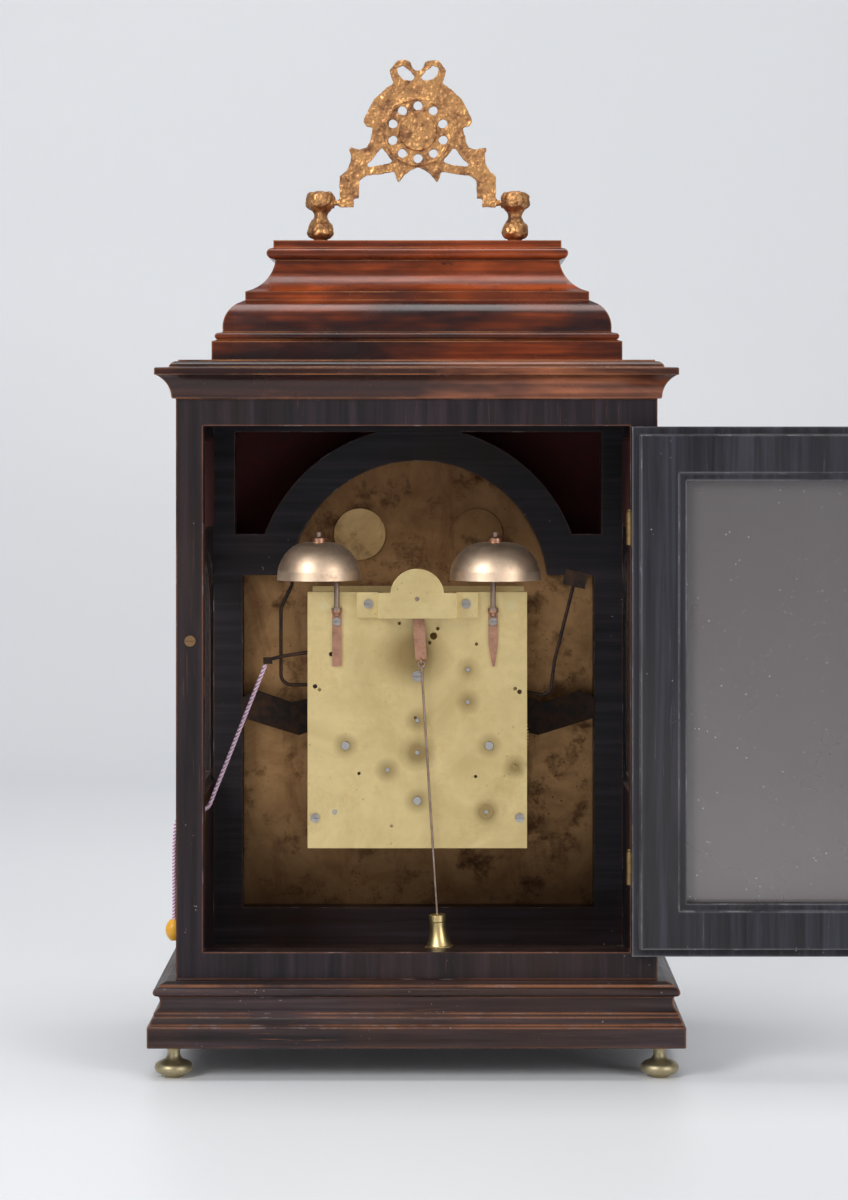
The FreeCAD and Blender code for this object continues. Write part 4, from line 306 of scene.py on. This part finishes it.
def old_brass(name, colour_a, colour_b, stain, rough, stains=0.5, scale=30.0, also=None):
    """Brass with a mottled tarnish, small spots and fine rubbing marks.

    also changes the colour further: it gets the shader and the colour, and gives the colour."""
    s = Shader(name)
    colour, mottle, blots = brass_colour(s, colour_a, colour_b, stain, stains, scale)
    if also:
        colour = also(s, colour)
    rubs = s.noise(2.0, 4.0, 0.7, s.stretch((40, 40, 260)))
    shine = s.ramp(s.sums("ADD", s.sums("MULTIPLY", rubs, 0.4), s.sums("MULTIPLY", blots, 0.6)),
                   (0.1, rough), (0.7, min(1.0, rough + 0.3)))
    return s.finish(colour, shine, s.bump(mottle, 0.12, 0.0002, s.rounded(0.0003)), metal=1.0)


STEEL = (0.52, 0.5, 0.48)
BLUED = (0.012, 0.016, 0.045)
COPPER = (0.5, 0.27, 0.18)
DIRTY_BRASS = (0.3, 0.2, 0.08)
# Marks on the back plate, from the middle of the case: (across, up), and (across, up, reach).
PILLAR_ENDS = [(0.0523, 0.2529), (-0.0523, 0.2529), (0.046, 0.138)]
PILLAR_RADIUS = 0.003
DIRTY_PLACES = [(0.0, 0.171, 0.010), (0.0, 0.189, 0.006), (-0.0384, 0.138, 0.0085),
                (0.0167, 0.1614, 0.006), (-0.0544, 0.163, 0.006), (0.04, 0.175, 0.006),
                (-0.04, 0.175, 0.006), (0.0, 0.1443, 0.006), (0.002, 0.226, 0.022),
                (-0.0283, 0.1993, 0.006), (-0.0283, 0.2173, 0.005)]


def plate_marks(s, colour):
    """Dirt round every pivot, and the paler ends of the pillars riveted into the plate."""
    for x, z in PILLAR_ENDS:
        reach = s.off_axis(x + CASE_MIDDLE.x, z)
        disc = s.ramp(reach, (PILLAR_RADIUS - 0.0001, 0.45), (PILLAR_RADIUS + 0.0001, 0.0))
        colour = s.mix(disc, colour, (0.78, 0.74, 0.48))
    for x, z, wide in DIRTY_PLACES:
        dirt = s.ramp(s.off_axis(x + CASE_MIDDLE.x, z), (wide * 0.35, 0.85), (wide, 0.0))
        colour = s.mix(dirt, colour, DIRTY_BRASS)
    return colour


def joint_place(node):
    """Where the joint of the body that holds this node stands."""
    behaviour = frame["record"]["behaviour"]
    return [joint["pos_m"] for joint in behaviour["joints"]
            if node in behaviour["bodies"][joint["child"]]][0]


DISC_RADIUS = 0.0138


def dial_painted_shade_and_streaks(s, colour):
    """Painted shade: darker at the foot and the top of the dial, with a dark ring of painted shade
    round each disc in its arch.
    """
    turn = joint_place("strike_silent_pointer")
    for x in (turn[0], 2 * CASE_MIDDLE.x - turn[0]):
        reach = s.off_axis(x, turn[2])
        pale = s.ramp(reach, (0.0, 0.25), (0.0134, 0.1), (DISC_RADIUS, 0.0))
        colour = s.mix(pale, colour, (0.42, 0.3, 0.15))
        # painted shade: a dark ring at the rim of each raised disc
        ring = s.ramp(reach, (0.0136, 0.0), (0.014, 0.8), (0.0146, 0.8), (0.0158, 0.0))
        colour = s.mix(ring, colour, (0.05, 0.025, 0.014))
    # painted shade: darker towards the top of the dial
    top = s.ramp(s.axis("Z"), (0.24, 0.0), (0.3, 0.6))
    colour = s.mix(top, colour, (0.09, 0.038, 0.018))
    # painted shade: darker towards the foot of the dial
    foot = s.ramp(s.sums("MULTIPLY", s.axis("Z"), 4.0), (0.3, 0.75), (0.62, 0.0))
    colour = s.mix(foot, colour, (0.075, 0.035, 0.016))
    streaks = s.ramp(s.noise(12.0, 6.0, 0.7, s.stretch((1.0, 1.0, 0.5), (0, 0.5, 0)), 1.4),
                     (0.52, 0.0), (0.64, 0.6))
    return s.mix(streaks, colour, (0.13, 0.055, 0.03))


DIAL_MIDST = -0.0482
BELL_NUTS_FROM = 0.262
STILE_SCREW_FROM = 0.2
BELL_STEMS_FROM = 0.2505


def pointer_back(s, colour):
    """Brass behind the dial and blued steel in front of it."""
    return s.mix(s.above("Y", DIAL_MIDST), BLUED, colour)


def nut_and_screw(s, colour):
    """Copper nuts on top of the bells and a brass screw in the stile."""
    colour = s.mix(s.above("Z", BELL_NUTS_FROM), colour, COPPER)
    return s.mix(s.above("X", STILE_SCREW_FROM), colour, (0.3, 0.18, 0.09))


def stem_over_strip(s, colour):
    """Brown steel stems above the copper strips."""
    return s.mix(s.above("Z", BELL_STEMS_FROM), colour, (0.3, 0.22, 0.18))


ARBOR_RADIUS = 0.00165
ARBOR_END_RADIUS = 0.0026
ARBOR_ENDS_FROM = 0.033


def wheel_finish(name):
    """Bright brass with a steel arbor through it, for one wheel."""
    place = joint_place(name)

    def steel_arbor(s, colour):
        reach = s.off_axis(place[0], place[2])
        thin = s.sums("LESS_THAN", reach, ARBOR_RADIUS)
        stout = s.sums("MULTIPLY", s.sums("LESS_THAN", reach, ARBOR_END_RADIUS),
                       s.above("Y", ARBOR_ENDS_FROM))
        return s.mix(s.sums("MAXIMUM", thin, stout), colour, STEEL)

    return old_brass(name + "_finish", (0.75, 0.6, 0.27), (0.6, 0.45, 0.18), DIRTY_BRASS,
                     0.28, 0.2, 60.0, also=steel_arbor)


def cast_gilding():
    """Rough cast and gilt brass with brown dirt in the hollows."""
    s = Shader("cast_gilding")
    lumps = s.cells(380.0)
    fine = s.noise(900.0, 5.0, 0.7)
    dirt = s.ramp(s.noise(130.0, 6.0, 0.72), (0.4, 0.0), (0.62, 1.0))
    colour = s.mix(dirt, (0.66, 0.34, 0.13), (0.2, 0.09, 0.045))
    colour = s.mix(s.ramp(fine, (0.58, 0.0), (0.7, 0.6)), colour, (0.95, 0.66, 0.34))
    height = s.sums("ADD", lumps, s.sums("MULTIPLY", fine, 0.5))
    shine = s.ramp(dirt, (0.0, 0.34), (1.0, 0.62))
    return s.finish(colour, shine, s.bump(height, 0.55, 0.0006), metal=0.85)


def iron(name, tone, rust, rough, also=None):
    """Steel or iron with spots of rust; also works as it does for the brass."""
    s = Shader(name)
    spots = s.noise(180.0, 6.0, 0.7)
    colour = s.ramp(spots, (0.4, tone), (0.7, rust))
    if also:
        colour = also(s, colour)
    shine = s.ramp(spots, (0.3, rough), (0.8, rough + 0.25))
    return s.finish(colour, shine, s.bump(spots, 0.25, 0.0003), metal=0.9)


def old_glass(name, dust, see):
    """A pane with a thin film of dust and white specks on it."""
    s = Shader(name)
    film = s.noise(8.0, 5.0, 0.6)
    specks = s.ramp(s.cells(300.0), (0.05, 1.0), (0.1, 0.0))
    few = s.ramp(s.noise(50.0, 3.0), (0.5, 0.0), (0.58, 1.0))
    specks = s.sums("MULTIPLY", specks, few)
    tint = s.ramp(s.sums("MULTIPLY", s.axis("Z"), 2.0), (0.15, tuple(c * 1.35 for c in dust)),
                  (0.7, tuple(c * 0.8 for c in dust)))
    colour = s.mix(specks, tint, (0.62, 0.6, 0.58))
    cover = s.sums("MAXIMUM", s.ramp(film, (0.3, see), (0.7, min(1.0, see + 0.08))), specks)
    shine = s.ramp(film, (0.3, 0.14), (0.7, 0.3))
    return s.finish(colour, shine, Alpha=cover, IOR=1.45)


def twisted_cord():
    """Two-coloured twist: slanting stripes along the cord."""
    s = Shader("twisted_cord")
    stripes = s.wave(330.0, 0.4, s.stretch((0.6, 0.6, 1.0)), "DIAGONAL", detail=1.0)
    fibres = s.noise(2600.0, 3.0)
    colour = s.ramp(stripes, (0.3, (0.6, 0.2, 0.42)), (0.5, (0.95, 0.86, 0.92)))
    colour = s.mix(s.ramp(fibres, (0.4, 0.2), (0.7, 0.0)), colour, (0.45, 0.24, 0.36))
    return s.finish(colour, s.ramp(fibres, (0.3, 0.8), (0.7, 0.95)),
                    s.bump(stripes, 0.8, 0.0005))


def plain_grain(name, tone, rough, scale, metal=0.0, change=0.2):
    """A nearly even colour with a slight cloudiness."""
    s = Shader(name)
    cloud = s.noise(scale, 5.0, 0.6)
    colour = s.ramp(cloud, (0.3, tuple(c * (1 - change) for c in tone)),
                    (0.7, tuple(min(1.0, c * (1 + change)) for c in tone)))
    return s.finish(colour, s.ramp(cloud, (0.3, rough), (0.7, min(1.0, rough + 0.12))),
                    s.bump(cloud, 0.1, 0.0002), metal=metal)


EBONY = (0.0115, 0.0066, 0.0092)
BROWN = (0.2, 0.075, 0.04)
DUST = (0.3, 0.25, 0.25)
MATERIALS = {
    "stiles": dark_wood("dark_wood_upright", "Z", EBONY, BROWN, DUST, 0.8),
    "rails": dark_wood("dark_wood_level", "X", (0.011, 0.0085, 0.012), BROWN, DUST, 0.3),
    "plinth": dark_wood("dark_wood_plinth", "X", (0.024, 0.014, 0.015), (0.3, 0.115, 0.05), DUST,
                        1.0),
    "door": dark_wood("grey_wood_door", "Z", (0.014, 0.0135, 0.019), (0.2, 0.19, 0.2),
                      (0.34, 0.33, 0.34), 0.6, 0.5),
    "veneer": figured_wood("figured_top", (0.025, 0.007, 0.006), (0.2, 0.036, 0.008), 0.9),
    "cornice": figured_wood("figured_cornice", (0.04, 0.016, 0.012), (0.2, 0.065, 0.03), 0.9),
    "boards": plain_grain("bare_boards", (0.04, 0.025, 0.018), 0.7, 60.0),
    "feet": old_brass("feet_brass", (0.5, 0.43, 0.27), (0.32, 0.26, 0.15), (0.16, 0.13, 0.08),
                      0.42),
    "rear_plate": old_brass("rear_plate_brass", (0.84, 0.66, 0.33), (0.68, 0.52, 0.24),
                            (0.4, 0.27, 0.1), 0.36, 0.22, 22.0, also=plate_marks),
    "plates": old_brass("plate_brass", (0.86, 0.68, 0.34), (0.72, 0.55, 0.26), (0.4, 0.27, 0.1),
                        0.34, 0.2, 26.0),
    "dial": old_brass("dial_brass", (0.58, 0.34, 0.155), (0.34, 0.18, 0.08), (0.12, 0.055, 0.03),
                      0.46, 0.7, 30.0, also=dial_painted_shade_and_streaks),
    "bells": old_brass("bell_metal", (0.95, 0.74, 0.55), (0.78, 0.57, 0.4), (0.34, 0.22, 0.14),
                       0.44, 0.3, 55.0),
    "fittings": old_brass("fitting_brass", (0.34, 0.23, 0.1), (0.2, 0.13, 0.06),
                          (0.07, 0.05, 0.03), 0.4, 0.5, 70.0),
    "pointer": old_brass("pointer_finish", (0.62, 0.42, 0.2), (0.42, 0.26, 0.11),
                         (0.16, 0.08, 0.04), 0.4, 0.5, 40.0, also=pointer_back),
    "gilding": cast_gilding(),
    "silvering": plain_grain("silvered_ring", (0.62, 0.6, 0.54), 0.35, 40.0, 0.8),
    "screws": iron("screw_steel", STEEL, (0.3, 0.24, 0.2), 0.26, nut_and_screw),
    "steel": iron("rod_steel", (0.4, 0.3, 0.25), (0.2, 0.14, 0.11), 0.35),
    "iron": iron("dark_iron", (0.03, 0.025, 0.023), (0.1, 0.05, 0.03), 0.5),
    "blued": iron("blued_steel", BLUED, (0.03, 0.035, 0.07), 0.25),
    "copper": iron("strip_copper", COPPER, (0.28, 0.15, 0.1), 0.4, stem_over_strip),
    "glass": old_glass("dusty_glass", (0.125, 0.108, 0.108), 0.7),
    "clear": old_glass("front_glass", (0.3, 0.3, 0.3), 0.08),
    "cord": twisted_cord(),
    "bead": plain_grain("amber_bead", (0.86, 0.42, 0.03), 0.3, 90.0, 0.0, 0.12),
    "silk": plain_grain("red_silk", (0.07, 0.01, 0.01), 0.85, 200.0),
    "ink": plain_grain("black_wax", (0.012, 0.011, 0.011), 0.5, 200.0),
}
WORN_BY = {
    "stiles": ["side_panel_left", "side_panel_right", "rear_frame", "front_door_frame"],
    "rails": ["dial_mask_frame"],
    "plinth": ["base_plinth"],
    "door": ["back_door_frame", "back_door_beading"],
    "veneer": ["bell_top"],
    "cornice": ["cornice"],
    "boards": ["floor_and_roof"],
    "feet": ["turned_feet"],
    "rear_plate": ["back_plate"],
    "plates": ["front_plate", "plate_pillars", "escapement_cocks", "pendulum_bob"],
    "dial": ["dial_plate"],
    "bells": ["strike_bells"],
    "fittings": ["hinge_case_leaves", "back_door_leaves", "front_door_leaves", "back_door_lock",
                 "front_door_sight", "front_door_mounts", "side_frets", "hinge_pins"],
    "pointer": ["strike_silent_pointer"],
    "gilding": ["handle_pillars", "carrying_handle", "dial_spandrels"],
    "silvering": ["chapter_ring"],
    "screws": ["screws_and_nuts"],
    "steel": ["pendulum_rod"],
    "iron": ["movement_brackets", "large_hammer", "small_hammer", "repeat_lever"],
    "copper": ["verge", "bell_stands"],
    "blued": ["hour_hand", "minute_hand"],
    "glass": ["back_door_glass"],
    "clear": ["side_windows", "front_door_glass"],
    "cord": ["pull_cord"],
    "bead": ["cord_bead"],
}
WHEELS = ["cannon_wheel", "centre_wheel", "contrate_wheel", "crown_wheel", "fly", "going_barrel",
          "going_fusee", "hour_wheel", "intermediate_wheel", "minute_wheel", "pin_wheel",
          "strike_barrel", "strike_fusee"]
for finish, names in WORN_BY.items():
    coat_with(MATERIALS[finish], *names)
for name in WHEELS:
    coat_with(wheel_finish(name), name)


# ---------------------------------------------------------------- cast relief

def lumpy(name, size, deep, voxel):
    """Ease and roughen a cast piece. The surface is only ever pressed inwards."""
    piece = nodes[name]
    soften = piece.modifiers.new("melt", "REMESH")
    soften.mode = "VOXEL"
    soften.voxel_size = voxel
    soften.use_smooth_shade = True
    ease = piece.modifiers.new("ease", "SMOOTH")
    ease.factor = 0.5
    ease.iterations = 3
    clouds = bpy.data.textures.new(name + "_relief", "CLOUDS")
    clouds.noise_scale = size
    clouds.noise_depth = 3
    press = piece.modifiers.new("press", "DISPLACE")
    press.texture = clouds
    press.texture_coords = "LOCAL"
    press.mid_level = 1.0
    press.strength = deep


lumpy("carrying_handle", 0.0028, 0.0013, 0.00045)
lumpy("handle_pillars", 0.0034, 0.0016, 0.00055)
lumpy("dial_spandrels", 0.003, 0.0012, 0.0006)


# ---------------------------------------------------------------- pieces shown by curves

def tube(name, points, radius, material):
    """A round tube along a smooth line drawn by control points in metres, and that line."""
    data = bpy.data.curves.new(name, "CURVE")
    data.dimensions = "3D"
    data.resolution_u = 24
    data.use_fill_caps = True
    spline = data.splines.new("NURBS")
    spline.points.add(len(points) - 1)
    for point, place in zip(spline.points, points):
        point.co = tuple(place) + (1.0,)
    spline.order_u = 3
    spline.use_endpoint_u = True
    drawn = bpy.data.objects.new(name + "_line", data)
    bpy.context.scene.collection.objects.link(drawn)
    bpy.context.view_layer.update()
    line = bpy.data.meshes.new_from_object(drawn)
    path = [tuple(v.co) for v in line.vertices]
    data.bevel_depth = radius
    data.bevel_resolution = 4
    bpy.context.view_layer.update()
    mesh = bpy.data.meshes.new_from_object(drawn.evaluated_get(
        bpy.context.evaluated_depsgraph_get()))
    bpy.data.objects.remove(drawn)
    mesh.materials.clear()
    mesh.materials.append(material)
    for polygon in mesh.polygons:
        polygon.use_smooth = True
    solid = bpy.data.objects.new(name, mesh)
    bpy.context.scene.collection.objects.link(solid)
    return solid, path


# The pull cord: from the lever to the hole in the side, and from the hole down to its bead.
CORD_RADIUS = 0.0011
CORD_INSIDE = [at(0.0849, 0.0339, 0.2198), at(0.0959, 0.0343, 0.1922),
               at(0.1061, 0.0346, 0.1665), at(0.1145, 0.0349, 0.1455),
               at(0.11715, 0.035, 0.1388), at(0.1222, 0.035, 0.1382)]
CORD_OUTSIDE = [at(0.1222, 0.035, 0.1382), at(0.13435, 0.035, 0.1368),
                at(0.13595, 0.035, 0.1224), at(0.13595, 0.035, 0.1), at(0.13595, 0.035, 0.0776)]


def cord_piece(name, points):
    """One stretch of the cord, a fixed tube through the given points."""
    solid, path = tube(name, points, CORD_RADIUS, MATERIALS["cord"])
    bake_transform(solid)
    return solid


def cords():
    inside = cord_piece("cord_inside", CORD_INSIDE)
    cord_piece("cord_outside", CORD_OUTSIDE)
    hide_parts("pull_cord")


cords()


# ---------------------------------------------------------------- silk and dial figures

def thin_panel(name, points, normal, level, thick, material, body):
    """A flat piece cut to an outline in (across, up), facing along X or Y."""
    def corner(across, up, far):
        return at(far, across, up) if normal == "X" else at(across, far, up)

    count = len(points)
    places = [corner(x, z, level) for x, z in points]
    places += [corner(x, z, level + thick) for x, z in points]
    faces = [tuple(range(count)), tuple(reversed(range(count, 2 * count)))]
    faces += [(i, i + count, (i + 1) % count + count, (i + 1) % count) for i in range(count)]
    mesh = bpy.data.meshes.new(name)
    mesh.from_pydata(places, [], faces)
    mesh.materials.append(material)
    panel = bpy.data.objects.new(name, mesh)
    bpy.context.scene.collection.objects.link(panel)
    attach(panel, body)


SILK_THICK = 0.0002
SILK_GLUE = 0.0001
# The door's corner silks: cut hollow round the arch, and how far they reach.
ARCH_RADIUS = 0.093
ARCH_MIDDLE = 0.257
ARCH_TOP = 0.3495
ARCH_STEPS = 12
SILK_LOW = 0.285
SILK_HIGH = 0.351
SILK_EDGE = 0.1135
DOOR_SILK_AT = -0.06745
# The side silks: the inside face of the side, and their corners (along the side, up).
SIDE_INSIDE = 0.11865
SIDE_SILK = [(-0.041, 0.297), (0.061, 0.297), (0.061, 0.345), (-0.041, 0.345)]


def silks():
    """Dark red silk for the frets, riding on the front door and on the sides of the case."""
    first = math.asin((SILK_LOW - ARCH_MIDDLE) / ARCH_RADIUS)
    last = math.asin((ARCH_TOP - ARCH_MIDDLE) / ARCH_RADIUS)
    for side, word in ((1, "left"), (-1, "right")):
        points = [(side * SILK_EDGE, SILK_LOW), (side * SILK_EDGE, SILK_HIGH)]
        for step in range(ARCH_STEPS + 1):
            angle = last + (first - last) * step / ARCH_STEPS
            points.append((side * ARCH_RADIUS * math.cos(angle),
                           ARCH_MIDDLE + ARCH_RADIUS * math.sin(angle)))
        thin_panel("door_silk_" + word, points, "Y", DOOR_SILK_AT, SILK_THICK,
                   MATERIALS["silk"], "front_door")
        thin_panel("side_silk_" + word, SIDE_SILK, "X", side * (SIDE_INSIDE - SILK_GLUE),
                   -side * SILK_THICK, MATERIALS["silk"], "case")


HOURS = ["XII", "I", "II", "III", "IV", "V", "VI", "VII", "VIII", "IX", "X", "XI"]
RING_CENTRE = Vector((0.0, 0.0, 0.171))
FIGURES_AT = -0.04586
NUMERAL_HEIGHT = 0.0175
NUMERAL_REACH = 0.0745
TRACK_REACH = (0.0865, 0.0905)
MINUTE_HALF_WIDTH = 0.00025
HOUR_HALF_WIDTH = 0.0006


def numeral(word, turn):
    """One upright word, turned to stand at its hour."""
    data = bpy.data.curves.new("numeral", "FONT")
    data.body = word
    data.size = NUMERAL_HEIGHT
    data.align_x = "CENTER"
    data.align_y = "CENTER"
    data.resolution_u = 3
    drawn = bpy.data.objects.new("numeral", data)
    bpy.context.scene.collection.objects.link(drawn)
    bpy.context.view_layer.update()
    mesh = bpy.data.meshes.new_from_object(drawn.evaluated_get(
        bpy.context.evaluated_depsgraph_get()))
    bpy.data.objects.remove(drawn)
    reach = Vector((math.sin(turn), 0, math.cos(turn))) * NUMERAL_REACH
    place = Matrix.Translation(Vector(at(*(RING_CENTRE + reach + Vector((0, FIGURES_AT, 0))))))
    upright = Matrix.Rotation(math.pi / 2, 4, "X")
    mesh.transform(place @ Matrix.Rotation(turn, 4, "Y") @ upright)
    return mesh


def minute_track():
    """A short mark for every minute, wider at the hours."""
    marks = bpy.data.meshes.new("minute_track")
    inner, outer = TRACK_REACH
    places = []
    faces = []
    for minute in range(60):
        turn = math.radians(6 * minute)
        half = HOUR_HALF_WIDTH if minute % 5 == 0 else MINUTE_HALF_WIDTH
        first = len(places)
        for reach, across in ((inner, -half), (inner, half), (outer, half), (outer, -half)):
            spot = Vector((reach * math.sin(turn) + across * math.cos(turn), FIGURES_AT,
                           reach * math.cos(turn) - across * math.sin(turn)))
            places.append(at(*(RING_CENTRE + spot)))
        faces.append(tuple(range(first, first + 4)))
    marks.from_pydata(places, [], faces)
    return marks


def dial_figures():
    """Plain hour numerals and a minute track on the chapter ring."""
    meshes = [numeral(word, math.radians(30 * hour)) for hour, word in enumerate(HOURS)]
    meshes.append(minute_track())
    for number, mesh in enumerate(meshes):
        mesh.materials.clear()
        mesh.materials.append(MATERIALS["ink"])
        figure = bpy.data.objects.new("dial_figure_%d" % number, mesh)
        bpy.context.scene.collection.objects.link(figure)
        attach(figure, "case")


silks()
dial_figures()


# ---------------------------------------------------------------- light and floor

def lamp(name, place, aim, size, power):
    data = bpy.data.lights.new(name, "AREA")
    data.shape = "RECTANGLE"
    data.size, data.size_y = size
    data.energy = power
    light = bpy.data.objects.new(name, data)
    light.location = at(*place)
    light.rotation_euler = (Vector(aim) - Vector(place)).to_track_quat("-Z", "Y").to_euler()
    bpy.context.scene.collection.objects.link(light)


# The table: half its width, its near edge, where it starts to bend up, and how high it goes.
TABLE_HALF_WIDTH = 4.0
TABLE_NEAR = 3.0
TABLE_FAR = -1.4
TABLE_BEND = 0.6
TABLE_HIGH = 3.0
BEND_STEPS = 12
# Each lamp: name, place, aim, width and height, power in watts.
LAMPS = [("key", (1.5, 2.1, 1.6), (0, 0, 0.28), (0.9, 1.2), 42),
         ("fill", (-1.8, 2.0, 1.0), (0, 0, 0.25), (1.0, 1.4), 24),
         ("top", (0, 0.1, 2.2), (0, 0, 0.3), (1.4, 1.0), 22)]
ROOM_COLOUR = (0.75, 0.77, 0.8, 1)
ROOM_STRENGTH = 0.35


def studio():
    """A pale table that curves up into a backdrop, and three soft lamps."""
    s = Shader("pale_table")
    cloud = s.noise(0.8, 2.0)
    table = s.finish(s.ramp(cloud, (0.2, (0.8, 0.81, 0.83)), (0.8, (0.84, 0.85, 0.87))), 0.45)
    line = [(TABLE_NEAR, 0.0)]
    for step in range(BEND_STEPS + 1):
        angle = math.pi / 2 * step / BEND_STEPS
        line.append((TABLE_FAR - TABLE_BEND * math.sin(angle), TABLE_BEND * (1 - math.cos(angle))))
    line.append((TABLE_FAR - TABLE_BEND, TABLE_HIGH))
    points = [(x, y, z) for y, z in line for x in (-TABLE_HALF_WIDTH, TABLE_HALF_WIDTH)]
    faces = [(2 * i, 2 * i + 1, 2 * i + 3, 2 * i + 2) for i in range(len(line) - 1)]
    mesh = bpy.data.meshes.new("table")
    mesh.from_pydata(points, [], faces)
    mesh.materials.append(table)
    for polygon in mesh.polygons:
        polygon.use_smooth = True
    floor = bpy.data.objects.new("table", mesh)
    bpy.context.scene.collection.objects.link(floor)
    for name, place, aim, size, power in LAMPS:
        lamp(name, place, aim, size, power)
    world = bpy.data.worlds.new("room")
    world.use_nodes = True
    background = world.node_tree.nodes["Background"]
    background.inputs["Color"].default_value = ROOM_COLOUR
    background.inputs["Strength"].default_value = ROOM_STRENGTH
    bpy.context.scene.world = world
    bpy.context.scene.view_settings.view_transform = "Standard"


studio()
